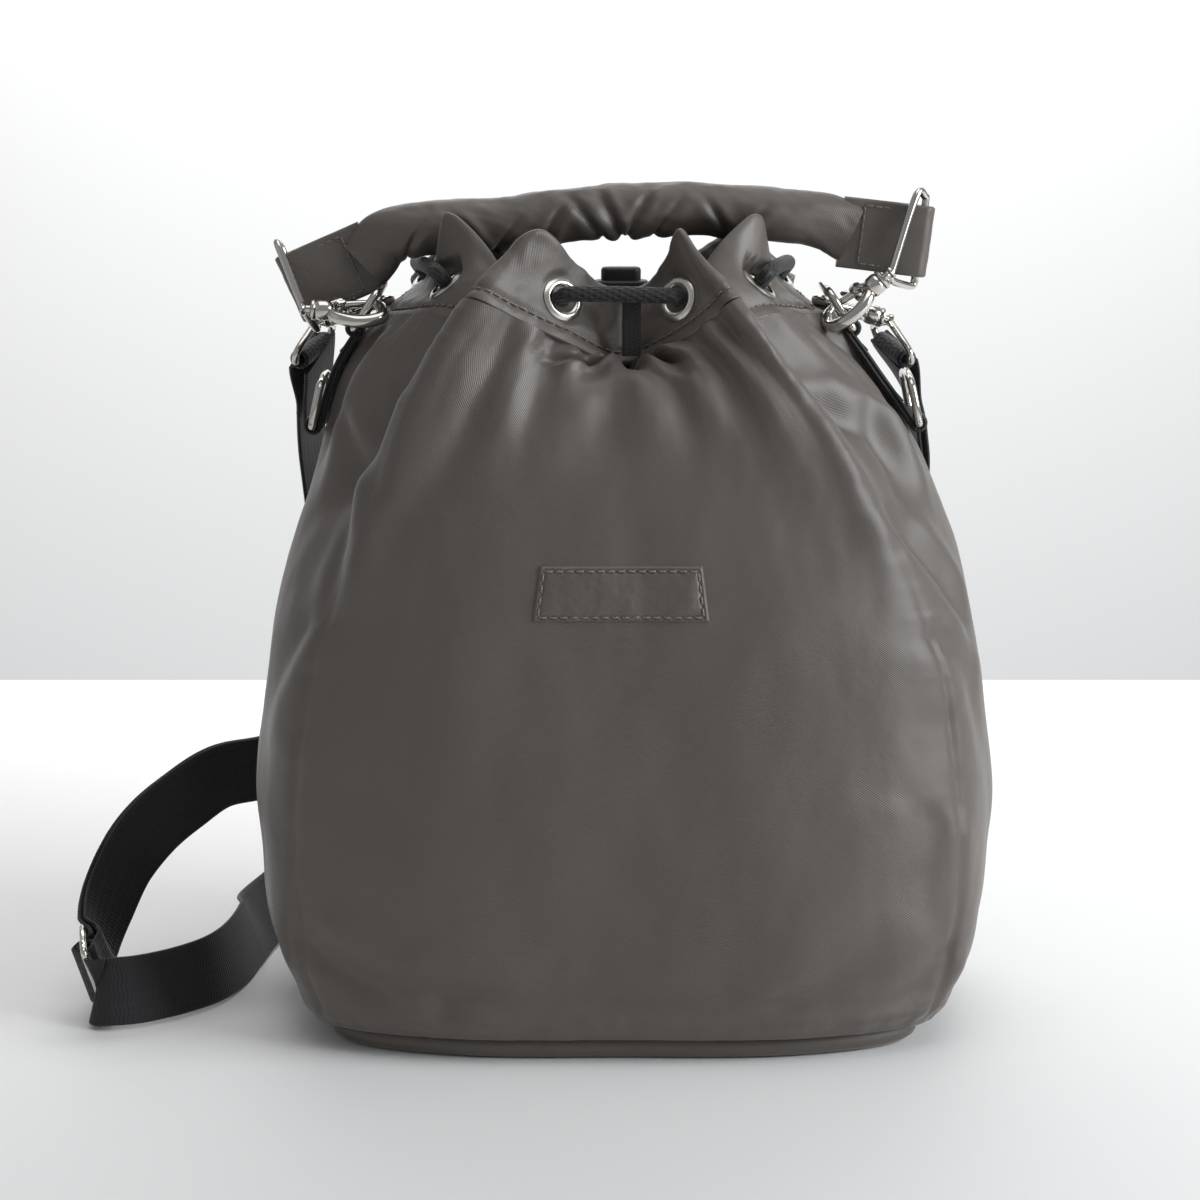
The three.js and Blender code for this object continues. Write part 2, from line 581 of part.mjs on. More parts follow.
// The strap's route from the right bail, behind the bag, out to the slider and back to the left bail:
// the two edges of the webbing at each station, [x, y, z] of the upper or inner edge and of the other.
const STRAP_ROUTE = [
  [[114, 32, 214], [112, 55, 222]],
  [[117, 46, 190], [106, 67, 197]],
  [[110, 66, 158], [94, 83, 168]],
  [[88, 90, 128], [78, 92, 151]],
  [[48, 98, 104], [41, 97, 128]],
  [[3, 99, 87], [-1, 98, 112]],
  [[-42, 98, 76], [-45, 97, 101]],
  [[-85, 93, 69], [-88, 92, 94]],
  [[-117, 80, 65], [-119, 79, 90]],
  [[-142, 60, 62], [-143, 62, 87]],
  [[-157, 46, 62], [-161, 48, 86]],
  [[-169.5, 33, 55], [-174.5, 39, 79]],
  [[-180.5, 23.5, 47], [-185.5, 28.5, 71]],
  [[-189.5, 15, 36], [-194.5, 17, 60]],
  [[-195, 4, 22], [-201, 6, 46]],
  [[-197, -7.5, 13], [-203, -2.5, 37]],
  [[-195.5, -18, 9], [-202.5, -10, 31.5]],
  [[-193.4, -27.5, 6], [-200.6, -18.5, 29]],
  [[-192.4, -34, 4.3], [-199.6, -25, 27.3]],
  [[-191.4, -40.5, 2.6], [-198.6, -31.5, 25.6]],
  [[-183, -42, 2.9], [-186, -28, 21]],
  [[-174, -38, 2.9], [-177, -20, 19]],
  [[-161, -29, 2.9], [-168, -8, 15]],
  [[-150, -14, 2.9], [-160, 7, 13]],
  [[-143, 6, 2.9], [-157, 24, 12]],
  [[-140, 36, 2.9], [-158, 48, 15]],
  [[-137, 68, 2.9], [-154, 75, 19]],
  [[-127, 98, 6], [-139, 108, 26]],
  [[-118, 112, 34], [-103, 128, 45]],
  [[-117, 106, 74], [-98, 122, 78]],
  [[-120, 86, 120], [-103, 105, 122]],
  [[-123, 62, 168], [-109, 83, 171]],
  [[-124, 46, 202], [-117, 70, 206]],
];

// The station that the slider sits on.
const SLIDER_STATION = 17;
const barWays = [RIGHT_STRAP_WAY, LEFT_STRAP_WAY].map((way) => way.clone().normalize());
const routeMiddles = STRAP_ROUTE.map(([inner, outer]) => at(...inner).lerp(at(...outer), 0.5));
const routeAcross = STRAP_ROUTE.map(([inner, outer]) => at(...outer).sub(at(...inner)).normalize());
const strapMiddle = through([rightBar, ...routeMiddles, leftBar]);
const strapAcross = through([barWays[0], ...routeAcross, barWays[1]]);
strapMiddle.arcLengthDivisions = 10 * (STRAP_ROUTE.length + 1);
const routeLengths = strapMiddle.getLengths();
const routeLength = routeLengths[routeLengths.length - 1];
const sliderPlace = routeLengths[10 * (SLIDER_STATION + 1)];
const SLIDER_SHARE = sliderPlace / routeLength;

/** The strap's middle line and frame at a share of its length. */
function strapFrame(share) {
  const t = strapMiddle.getUtoTmapping(share);
  const middle = strapMiddle.getPoint(t);
  const along = strapMiddle.getTangent(t);
  const across = strapAcross.getPoint(t);
  across.addScaledVector(along, -across.dot(along)).normalize();
  return { middle, across, along, normal: along.clone().cross(across) };
}

/** A stretch of webbing: way(a) gives its middle, across and normal at share a of its own length. */
function webbing(steps, way) {
  return sheet(1, steps, (a, b, c) => {
    const { middle, across, normal } = way(b);
    return middle.clone()
      .addScaledVector(across, (a - 0.5) * WEBBING_WIDTH)
      .addScaledVector(normal, (0.5 - c) * WEBBING);
  });
}

// How far the webbing leans out to pass the slider's bars.
const SLIDER_WIRE = 2.5;
const SLIDER_REACH = 9;
const overBar = SLIDER_WIRE / 2 + 2 * GAP + WEBBING / 2;
const overWrap = SLIDER_WIRE / 2 + 3 * GAP + 1.5 * WEBBING;
const layerGap = WEBBING + 3 * GAP;
const barFace = BAIL_WIRE / 2 + 2.5 * GAP + WEBBING / 2;
const EASE = 20;
const OUTER_WEAVE = [
  [0, barFace], [EASE, 0], [sliderPlace - EASE, 0], [sliderPlace - SLIDER_REACH, -overBar], [sliderPlace, overWrap],
  [sliderPlace + SLIDER_REACH, -overBar], [sliderPlace + EASE, 0], [routeLength - EASE, 0], [routeLength, barFace],
];
const INNER_WEAVE = [
  [0, -barFace], [EASE, -layerGap], [sliderPlace - EASE, -layerGap],
  [sliderPlace - SLIDER_REACH, -overBar - layerGap - GAP], [sliderPlace, -overBar],
];
const SEWN_END = 28;
const SEWN_WEAVE = [[routeLength - EASE, -layerGap], [routeLength, -barFace]];

/** The lean at a distance along the route, eased between the given stops. */
function lean(stops, distance) {
  if (distance <= stops[0][0]) return stops[0][1];
  for (let i = 1; i < stops.length; i += 1) {
    const [[from, low], [to, high]] = [stops[i - 1], stops[i]];
    const share = THREE.MathUtils.smoothstep(distance, from, to);
    if (distance <= to) return THREE.MathUtils.lerp(low, high, share);
  }
  return stops[stops.length - 1][1];
}

/** A layer of the strap between two shares of the route, with finer steps near the slider. */
function strapLayer(from, to, steps, stops) {
  const near = 18 / routeLength;
  const fine = 16;
  const shares = [];
  for (let i = 0; i <= steps; i += 1) {
    const share = from + ((to - from) * i) / steps;
    if (Math.abs(share - SLIDER_SHARE) > near) shares.push(share);
  }
  for (let i = 0; i <= fine; i += 1) {
    const share = SLIDER_SHARE + near * ((2 * i) / fine - 1);
    if (share >= from && share <= to) shares.push(share);
  }
  shares.sort((a, b) => a - b);
  const last = shares.length - 1;
  return webbing(last, (b) => {
    const share = shares[Math.round(b * last)];
    const frame = strapFrame(share);
    frame.middle.addScaledVector(frame.normal, lean(stops, share * routeLength));
    return frame;
  });
}

/** The turn of the webbing round a bar. */
function strapWrap(middle, way, wire) {
  const half = way.clone().normalize().multiplyScalar(WEBBING_WIDTH / 2);
  const bore = wire / 2 + 2 * GAP;
  const profile = [
    [bore, 0], [bore + WEBBING, 0], [bore + WEBBING, WEBBING_WIDTH], [bore, WEBBING_WIDTH], [bore, 0],
  ];
  return turned(profile, middle.clone().sub(half), middle.clone().add(half), 14);
}

const slider = strapFrame(SLIDER_SHARE);
const strap = [
  strapLayer(0, 1, 60, OUTER_WEAVE),
  strapLayer(0, SLIDER_SHARE, 34, INNER_WEAVE),
  strapLayer(1 - SEWN_END / routeLength, 1, 4, SEWN_WEAVE),
  strapWrap(rightBar, RIGHT_STRAP_WAY, BAIL_WIRE),
  strapWrap(leftBar, LEFT_STRAP_WAY, BAIL_WIRE),
  strapWrap(slider.middle, slider.across, SLIDER_WIRE),
].map(toSolid).reduce((whole, part) => whole.add(part));

// The slider: a wire frame with a middle bar.
const sliderHalf = SLIDER_LENGTH / 2 - SLIDER_WIRE / 2;
const sliderCurve = through([
  [sliderHalf, 0], [sliderHalf, 5], [sliderHalf - 2, SLIDER_REACH],
  [0, SLIDER_REACH], [2 - sliderHalf, SLIDER_REACH],
  [-sliderHalf, 5], [-sliderHalf, -5], [2 - sliderHalf, -SLIDER_REACH], [0, -SLIDER_REACH],
  [sliderHalf - 2, -SLIDER_REACH], [sliderHalf, -5],
].map(([x, y]) => at(x, y, 0)), true);
const sliderBasis = [slider.across, slider.along, slider.across.clone().cross(slider.along)];
const sliderPlacing = new THREE.Matrix4().makeBasis(...sliderBasis).setPosition(slider.middle);

/** The slider's solid in place, made of wire of the given thickness. */
function sliderSolid(wire) {
  const middleBar = turned(disc(wire / 2, -sliderHalf, sliderHalf), at(0, 0, 0), at(1, 0, 0), 10);
  return [wireRing(sliderCurve, wire, 26, 6), middleBar]
    .map((part) => toSolid(part.applyMatrix4(sliderPlacing)))
    .reduce((whole, part) => whole.add(part));
}

piece('shoulder_strap', toGeometry(strap.subtract(sliderSolid(SLIDER_WIRE + GAP))), BLACK_WEBBING);
piece('strap_slider', toGeometry(sliderSolid(SLIDER_WIRE)), NICKEL);

// ---------------------------------------------------------------- drawcord, cord lock and tails
const LOCK = at(-1, 53, 261);
const LOCK_BODY = { width: 21, depth: 12, foot: -12.5, top: 7 };
const BUTTON = { width: 15.2, depth: 7.2, foot: -7, top: 12 };
const BUTTON_TRAVEL = 2.2;
const CORD_SPACING = CORD + 4 * GAP;
const CORD_PASS = CORD + 1.9;
const cordBore = CORD / 2 + 1.5 * GAP;
const cordPlaces = [CORD_SPACING / 2, -CORD_SPACING / 2];

/** An upright block with rounded corners. */
function block(width, depth, foot, top, corner) {
  const [w, d] = [width / 2 - corner, depth / 2 - corner];
  const outline = new THREE.Shape();
  outline.absarc(w, d, corner, 0, Math.PI / 2);
  outline.absarc(-w, d, corner, Math.PI / 2, Math.PI);
  outline.absarc(-w, -d, corner, Math.PI, 1.5 * Math.PI);
  outline.absarc(w, -d, corner, 1.5 * Math.PI, 2 * Math.PI);
  const settings = { depth: top - foot, bevelEnabled: false, curveSegments: 4 };
  const extrusion = new THREE.ExtrudeGeometry(outline, settings);
  return toSolid(extrusion.translate(0, 0, foot));
}

/** Cuts the two cord holes through a block, at a height and at the height above it. */
function boreCords(solid, heights) {
  return heights.reduce((whole, height) => (
    cordPlaces.reduce((part, x) => part.subtract(toSolid(crossBar(cordBore, 40, at(x, 0, height), 10))), whole)
  ), solid);
}

const lock = new THREE.Group();
lock.position.copy(LOCK);
bag.add(lock);
const wellFoot = BUTTON.foot - BUTTON_TRAVEL - 1.5;
const well = block(BUTTON.width + 2 * GAP, BUTTON.depth + 2 * GAP, wellFoot, LOCK_BODY.top + 1, 1.4);
const lockShell = block(LOCK_BODY.width, LOCK_BODY.depth, LOCK_BODY.foot, LOCK_BODY.top, 3).subtract(well);
piece('cord_lock_body', toGeometry(boreCords(lockShell, [0])), BLACK_PLASTIC, lock);
const SPRING_RADIUS = 2.2;
const SPRING_WIRE = 0.7;
const pocket = toSolid(turned(
  disc(SPRING_RADIUS + SPRING_WIRE, -1, 2.6), at(0, 0, BUTTON.foot), at(0, 0, BUTTON.foot + 1), 12,
));
const plunger = block(BUTTON.width, BUTTON.depth, BUTTON.foot, BUTTON.top, 1).subtract(pocket);
piece('cord_lock_button', toGeometry(boreCords(plunger, [0, BUTTON_TRAVEL])), BLACK_PLASTIC, lock);

/** The lock's spring, a short coil under the button. */
class Coil extends THREE.Curve {
  getPoint(t, target = new THREE.Vector3()) {
    const angle = 2 * Math.PI * 2 * t;
    const rise = BUTTON.foot - wellFoot - SPRING_WIRE - 2 * GAP;
    const foot = wellFoot + GAP + SPRING_WIRE / 2;
    return target.set(SPRING_RADIUS * Math.cos(angle), SPRING_RADIUS * Math.sin(angle), foot + t * rise);
  }
}
piece('cord_lock_spring', rod(new Coil(), SPRING_WIRE, 24, 6), NICKEL, lock);

// The cord goes in and out of the eyelets in turn, from the lock round the front and back to the lock.
const threading = [3, 2, 1, 0, 7, 6, 5, 4];
const threaded = threading.flatMap((index, turn) => {
  const { middle, normal } = eyelets[index];
  const way = turn % 2 === 0 ? 1 : -1;
  return [CORD_PASS * way, 0, -CORD_PASS * way].map((lift) => middle.clone().addScaledVector(normal, lift));
});
const lockEntry = cordPlaces.map((x, i) => {
  const side = i === 0 ? 1 : -1;
  return [
    LOCK.clone().add(at(x, LOCK_BODY.depth / 2 + 0.5, 0)),
    LOCK.clone().add(at(x, 0, 0)),
    LOCK.clone().add(at(x, -LOCK_BODY.depth / 2 - 3.5, 0)),
    LOCK.clone().add(at(x + side * 2, -LOCK_BODY.depth / 2 - 9, 1)),
  ];
});
const cordStations = [...lockEntry[0], ...threaded, ...lockEntry[1].slice().reverse()];
const cordRoute = through(cordStations);
piece('drawcord', rod(cordRoute, CORD, 76), BLACK_WEBBING);

// Each tail leaves the lock, turns down and ends in a knot against the back.
const tailDrop = [
  [0, 0.9, 0], [0.4, 5, 0], [1.2, 11, -3], [2.2, 15, -10],
  [3.4, 17, -22], [5, 18.5, -36], [7, 20, -50],
];
['right', 'left'].forEach((name, i) => {
  const side = i === 0 ? 1 : -1;
  const start = lockEntry[i][0];
  const points = tailDrop.map(([x, y, z]) => start.clone().add(at(side * x, y, z)));
  piece(`${name}_cord_tail`, rod(through(points), CORD, 14), BLACK_WEBBING);
  const end = points[points.length - 1];
  const before = points[points.length - 2];
  const profile = [[0, 0.4], [4.4, 1], [6.2, 4], [6.2, 8], [4.6, 11.4], [0, 12.2]];
  piece(`${name}_cord_knot`, turned(profile, end, end.clone().add(end.clone().sub(before)), 12), BLACK_WEBBING);
});

// The short tape sewn in at the front of the collar, behind the cord.
const TAPE = { width: 6.5, thickness: 0.8, foot: 249, top: 272.5, x: 2 };
piece('cord_tape', sheet(1, 3, (a, b, c) => at(
  TAPE.x + (a - 0.5) * TAPE.width,
  -43.6 + b * 2.6 + (c - 0.5) * TAPE.thickness,
  TAPE.foot + b * (TAPE.top - TAPE.foot),
)), BLACK_WEBBING);

export default bag;
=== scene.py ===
"""A padded drawstring bucket bag with a clip-on handle and a webbing shoulder strap."""

import math

import bmesh
import bpy
import numpy as np
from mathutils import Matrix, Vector, noise


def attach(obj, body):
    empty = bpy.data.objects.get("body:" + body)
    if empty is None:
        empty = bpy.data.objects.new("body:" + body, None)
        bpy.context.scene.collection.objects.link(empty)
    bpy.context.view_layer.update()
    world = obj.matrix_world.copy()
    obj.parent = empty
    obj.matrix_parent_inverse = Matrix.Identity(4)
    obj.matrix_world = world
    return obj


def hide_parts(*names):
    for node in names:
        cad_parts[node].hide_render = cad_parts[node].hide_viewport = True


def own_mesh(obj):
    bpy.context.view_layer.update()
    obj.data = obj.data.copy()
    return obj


bl_info = {
    "name": "Drawstring bucket bag",
    "version": (1, 0, 0),
    "blender": (4, 5, 0),
    "location": "View3D > Sidebar > Bag",
    "description": "Builds a padded drawstring bucket bag around its packed parts",
    "category": "Object",
}

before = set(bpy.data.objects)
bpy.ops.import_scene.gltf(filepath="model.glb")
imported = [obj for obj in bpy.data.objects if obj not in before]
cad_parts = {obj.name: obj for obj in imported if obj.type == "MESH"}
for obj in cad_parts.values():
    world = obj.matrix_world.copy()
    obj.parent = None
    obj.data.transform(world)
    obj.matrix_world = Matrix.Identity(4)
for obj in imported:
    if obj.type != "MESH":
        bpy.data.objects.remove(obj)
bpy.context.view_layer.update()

MM = 0.001

# ---------------------------------------------------------------- sizes, in millimetres
HALF_X = 135
HALF_Y = 82
SEAM_HEIGHT = 270
COLLAR_WIDTH = 30
FABRIC = 2.5
STATIONS = 16


def plain(z, front, mid, corner, flank, side):
    """A section with the same front and back, nine stations from the front centre to the back centre."""
    half = [(0, -front), (mid[0], -mid[1]), (corner[0], -corner[1]), (flank[0], -flank[1]), (side, 0)]
    back = [(x, -y) for x, y in half[3::-1]]
    return [(x, y, z) for x, y in half + back]


SECTIONS = [
    (0, plain(0.031, 0.905, (0.45, 0.89), (0.78, 0.71), (0.85, 0.37), 0.865)),
    (0, plain(0.13, 0.975, (0.49, 0.95), (0.86, 0.73), (0.955, 0.37), 0.975)),
    (0, plain(0.315, 1, (0.5, 0.975), (0.875, 0.73), (0.985, 0.37), 1)),
    (0, plain(0.5, 0.975, (0.475, 0.95), (0.83, 0.73), (0.95, 0.37), 0.97)),
    (0, plain(0.63, 0.93, (0.42, 0.915), (0.74, 0.75), (0.885, 0.35), 0.925)),
    (-2, plain(0.78, 0.83, (0.34, 0.835), (0.615, 0.76), (0.755, 0.33), 0.81)),
    (-7, plain(0.89, 0.69, (0.27, 0.735), (0.49, 0.72), (0.64, 0.32), 0.7)),
    (-8, [
        (0, -0.5, 0.915), (0.18, -0.61, 0.952), (0.35, -0.67, 1), (0.49, -0.36, 0.974), (0.6, 0, 0.962),
        (0.57, 0.33, 0.975), (0.53, 0.55, 1), (0.29, 0.56, 0.952), (0, 0.46, 0.915),
    ]),
]
COLLAR_LEAN = [
    (0, 0.72, 0.69), (-0.3, 0.55, 0.78), (-0.57, 0.4, 0.72), (-0.72, 0.26, 0.64), (-0.85, 0, 0.53),
    (-0.8, -0.16, 0.58), (-0.62, -0.33, 0.71), (-0.45, -0.5, 0.74), (0, -0.72, 0.69),
]
SHIFT_SHARE = [0.12, 0.25, 1, 1, 1, 1, 1, 0.25, 0.12]


# ---------------------------------------------------------------- curves and surfaces
def between(a, b, c, d, w):
    """The smooth curve from b to c at share w, with a and d as the neighbours on either side."""
    return 0.5 * (2 * b + (c - a) * w + (2 * a - 5 * b + 4 * c - d) * w**2 + (3 * b - a - 3 * c + d) * w**3)


def distances(line):
    """How far along a line each of its points lies."""
    return np.concatenate([[0], np.cumsum(np.linalg.norm(np.diff(line, axis=0), axis=1))])


def spline(points, t, closed=False):
    """Points of a smooth curve through the given points, at shares t of its steps."""
    p = np.asarray(points, float)
    count = len(p)
    spans = count if closed else count - 1
    s = np.asarray(t, float) * spans
    k = np.floor(s).astype(int)
    if not closed:
        k = np.clip(k, 0, spans - 1)
    w = (s - k)[..., None]
    if closed:
        a, b, c, d = (p[(k + i) % count] for i in (-1, 0, 1, 2))
    else:
        padded = np.vstack([2 * p[0] - p[1], p, 2 * p[-1] - p[-2]])
        a, b, c, d = (padded[k + i] for i in (0, 1, 2, 3))
    return between(a, b, c, d, w)


def unit(v):
    v = np.asarray(v, float)
    return v / np.maximum(np.linalg.norm(v, axis=-1, keepdims=True), 1e-12)


def section_points(shift, points):
    """The sixteen points of a section: the right half, then the mirrored left half."""
    def place(point, side, share):
        x, y, z = point
        return (side * x * HALF_X + shift * share, y * HALF_Y, z * SEAM_HEIGHT)
    right = [place(p, 1, SHIFT_SHARE[i]) for i, p in enumerate(points)]
    left = [place(points[i], -1, SHIFT_SHARE[i]) for i in range(7, 0, -1)]
    return right + left


SECTION_RINGS = [section_points(shift, points) for shift, points in SECTIONS]
LEAN_RING = COLLAR_LEAN + [(-x, y, z) for x, y, z in COLLAR_LEAN[7:0:-1]]


def body_face(u, v):
    """The body's outer face: u runs round from the front centre, v from the base to the collar seam."""
    u, v = np.broadcast_arrays(np.asarray(u, float) % 1, np.clip(np.asarray(v, float), 0, 1))
    rings = np.stack([spline(ring, u, True) for ring in SECTION_RINGS])
    spans = len(rings) - 1
    s = v * spans
    k = np.clip(np.floor(s).astype(int), 0, spans - 1)
    w = (s - k)[..., None]
    padded = np.concatenate([[2 * rings[0] - rings[1]], rings, [2 * rings[-1] - rings[-2]]])
    a, b, c, d = (np.take_along_axis(padded, (k + i)[None, ..., None], 0)[0] for i in (0, 1, 2, 3))
    return between(a, b, c, d, w)


def collar_face(u, v):
    """The collar's outer face: v runs from the seam to the top edge."""
    u, v = np.broadcast_arrays(np.asarray(u, float) % 1, np.asarray(v, float))
    lean = unit(spline(LEAN_RING, u, True))
    return spline(SECTION_RINGS[-1], u, True) + lean * (v * COLLAR_WIDTH)[..., None]


def outward(face, u, v):
    """The outward normal of a face."""
    step = 0.004
    low = np.maximum(np.asarray(v, float) - step, 0)
    across = face(u + step, v) - face(u - step, v)
    up = face(u, low + 2 * step) - face(u, low)
    return unit(np.cross(across, up))


def ripple(points, scale, seed=0.0, octaves=3):
    """Smooth noise from about -1 to 1 at each point."""
    shape = points.shape[:-1]
    flat = points.reshape(-1, 3) * scale + seed
    values = [noise.fractal(Vector(p), 0.8, 2.1, octaves) for p in flat]
    return np.array(values).reshape(shape)


def bump(x, width):
    """A soft bell of the given half width."""
    return np.exp(-((x / width) ** 2))


def from_station(station, place_at):
    """Stations from a place to another the short way round, negative before it."""
    half = STATIONS / 2
    return (station - place_at + half) % STATIONS - half


def smooth(low, high, x):
    t = np.clip((x - low) / (high - low), 0, 1)
    return t * t * (3 - 2 * t)


class Shape:
    """Collects the faces of one mesh, in millimetres, with a length and width coordinate for its weave."""

    def __init__(self):
        self.verts = []
        self.faces = []
        self.uvs = []
        self.slots = []

    def grid(self, points, uv, wrap_u=False, slot=0, flip=False):
        """Adds a grid of points; rows run along v, columns along u."""
        rows, columns = points.shape[:2]
        base = len(self.verts)
        self.verts.extend(map(tuple, points.reshape(-1, 3) * MM))
        last = columns if wrap_u else columns - 1
        for j in range(rows - 1):
            for i in range(last):
                n = (i + 1) % columns
                quad = [j * columns + i, j * columns + n, (j + 1) * columns + n, (j + 1) * columns + i]
                wide = [uv(i, j), uv(i + 1, j), uv(i + 1, j + 1), uv(i, j + 1)]
                if flip:
                    quad.reverse()
                    wide.reverse()
                self.faces.append([base + q for q in quad])
                self.uvs.extend(wide)
                self.slots.append(slot)
        return base

    def cap(self, ring, slot=0):
        """Closes a ring of vertex numbers with one face."""
        self.faces.append(list(ring))
        self.uvs.extend((self.verts[i][0], self.verts[i][1]) for i in ring)
        self.slots.append(slot)

    def tube(self, line, radius, sides=16, closed=False, start=None, slot=0, ends=True):
        """Adds a round tube along a line of points, with domed ends."""
        line = np.asarray(line, float)
        radii = np.full(len(line), radius, float) if np.isscalar(radius) else np.asarray(radius, float)
        if closed:
            tangent = unit(np.roll(line, -1, 0) - np.roll(line, 1, 0))
        else:
            tangent = unit(np.gradient(line, axis=0))
            if ends:
                dome = np.radians([75, 45, 20])
                first = [line[0] - tangent[0] * radii[0] * 0.9 * math.sin(a) for a in dome]
                final = [line[-1] + tangent[-1] * radii[-1] * 0.9 * math.sin(a) for a in dome[::-1]]
                line = np.vstack([first, line, final])
                thin = np.cos(dome)
                radii = np.concatenate([radii[0] * thin, radii, radii[-1] * thin[::-1]])
                tangent = np.vstack([np.repeat(tangent[:1], 3, 0), tangent, np.repeat(tangent[-1:], 3, 0)])
        side = np.cross(tangent[0], start if start is not None else (0.3, 0.2, 0.93))
        side = side / np.linalg.norm(side)
        frames = []
        for t in tangent:
            side = side - t * side.dot(t)
            side = side / np.linalg.norm(side)
            frames.append((side, np.cross(t, side)))
        if closed:
            first, last = frames[0], frames[-1]
            end = first[0] - tangent[-1] * first[0].dot(tangent[-1])
            twist = math.atan2(end.dot(last[1]), end.dot(last[0]))
        turn = np.arange(sides) * 2 * math.pi / sides
        rings = []
        for k, (middle, (a, b)) in enumerate(zip(line, frames)):
            angle = turn + (twist * k / len(line) if closed else 0)
            rings.append(middle + radii[k] * (np.cos(angle)[:, None] * a + np.sin(angle)[:, None] * b))
        if closed:
            rings.append(rings[0])
        rings = np.array(rings)
        lengths = distances(rings.mean(1)) * MM
        base = self.grid(rings, lambda i, j: (i / sides, lengths[j]), True, slot, flip=True)
        if not closed:
            self.cap([base + i for i in range(sides)], slot)
            self.cap([base + (len(rings) - 1) * sides + i for i in reversed(range(sides))], slot)

    def turned(self, profile, origin, axis, steps=48, slot=0):
        """Adds a profile of (radius, height) turned about an axis; it closes on itself."""
        axis = unit(axis)
        a = unit(np.cross(axis, (0.31, 0.87, 0.21)))
        b = np.cross(axis, a)
        turn = np.arange(steps) * 2 * math.pi / steps
        ring = np.cos(turn)[:, None] * a + np.sin(turn)[:, None] * b
        rows = np.array([np.asarray(origin) + axis * h + ring * max(r, 0.01) for r, h in profile])
        self.grid(rows, lambda i, j: (i / steps, j / len(profile)), True, slot, flip=False)

    def build(self, name, materials, smooth_angle=50):
        """Makes the object."""
        mesh = bpy.data.meshes.new(name)
        mesh.from_pydata(self.verts, [], self.faces)
        layer = mesh.uv_layers.new(name="UVMap")
        layer.data.foreach_set("uv", np.asarray(self.uvs, np.float32).ravel())
        for material in materials:
            mesh.materials.append(material)
        mesh.polygons.foreach_set("material_index", self.slots)
        mesh.polygons.foreach_set("use_smooth", [True] * len(self.faces))
        mesh.validate()
        mesh.update()
        mesh.set_sharp_from_angle(angle=math.radians(smooth_angle))
        thing = bpy.data.objects.new(name, mesh)
        bpy.context.scene.collection.objects.link(thing)
        return thing


def tidy_closed(thing):
    """Merges doubled points and faces the mesh outward."""
    mesh = bmesh.new()
    mesh.from_mesh(thing.data)
    bmesh.ops.remove_doubles(mesh, verts=mesh.verts, dist=1e-6)
    bmesh.ops.recalc_face_normals(mesh, faces=mesh.faces)
    mesh.to_mesh(thing.data)
    mesh.free()
    return thing


# ---------------------------------------------------------------- shader kit
class Shader:
    """A node tree under construction."""

    def __init__(self, name):
        self.material = bpy.data.materials.new(name)
        self.material.use_nodes = True
        self.tree = self.material.node_tree
        self.tree.nodes.clear()

    def node(self, kind, settings=None, **sockets):
        """Adds a node, sets its settings and its sockets; a socket takes a value or another socket."""
        made = self.tree.nodes.new(kind)
        for key, value in (settings or {}).items():
            setattr(made, key, value)
        for key, value in sockets.items():
            self.put(made.inputs[key.replace("_", " ")], value)
        return made

    def put(self, socket, value):
        if isinstance(value, Wave):
            self.tree.links.new(value.socket, socket)
        else:
            socket.default_value = value

    def out(self, made, name=0):
        return Wave(self, made.outputs[name])

    def mix(self, share, low, high):
        """Blends two colours."""
        made = self.tree.nodes.new("ShaderNodeMix")
        made.data_type = "RGBA"
        self.put(made.inputs[0], share)
        self.put(made.inputs[6], low)
        self.put(made.inputs[7], high)
        return Wave(self, made.outputs[2])

    def ramp(self, value, low, high):
        """Runs from 0 at low to 1 at high."""
        made = self.node("ShaderNodeMapRange", {"interpolation_type": "SMOOTHSTEP"}, Value=value)
        made.inputs["From Min"].default_value = low
        made.inputs["From Max"].default_value = high
        return self.out(made)

    def object_point(self):
        return self.out(self.node("ShaderNodeTexCoord"), "Object")

    def weave_point(self):
        """The length and width coordinates of the cloth."""
        split = self.node("ShaderNodeSeparateXYZ", Vector=self.out(self.node("ShaderNodeTexCoord"), "UV"))
        return self.out(split, 0), self.out(split, 1)

    def grain(self, point, scale, detail=3.0, rough=0.6):
        made = self.node("ShaderNodeTexNoise", Vector=point, Scale=scale, Detail=detail, Roughness=rough)
        return self.out(made, "Fac")

    def bump(self, height, strength, distance, under=None):
        made = self.node("ShaderNodeBump", Height=height, Strength=strength, Distance=distance)
        if under is not None:
            self.put(made.inputs["Normal"], under)
        return self.out(made)

    def finish(self, **values):
        """Ends the tree in one shader with the given settings."""
        shader = self.node("ShaderNodeBsdfPrincipled")
        for key, value in values.items():
            self.put(shader.inputs[key.replace("_", " ")], value)
        output = self.node("ShaderNodeOutputMaterial")
        self.tree.links.new(shader.outputs[0], output.inputs[0])
        return self.material


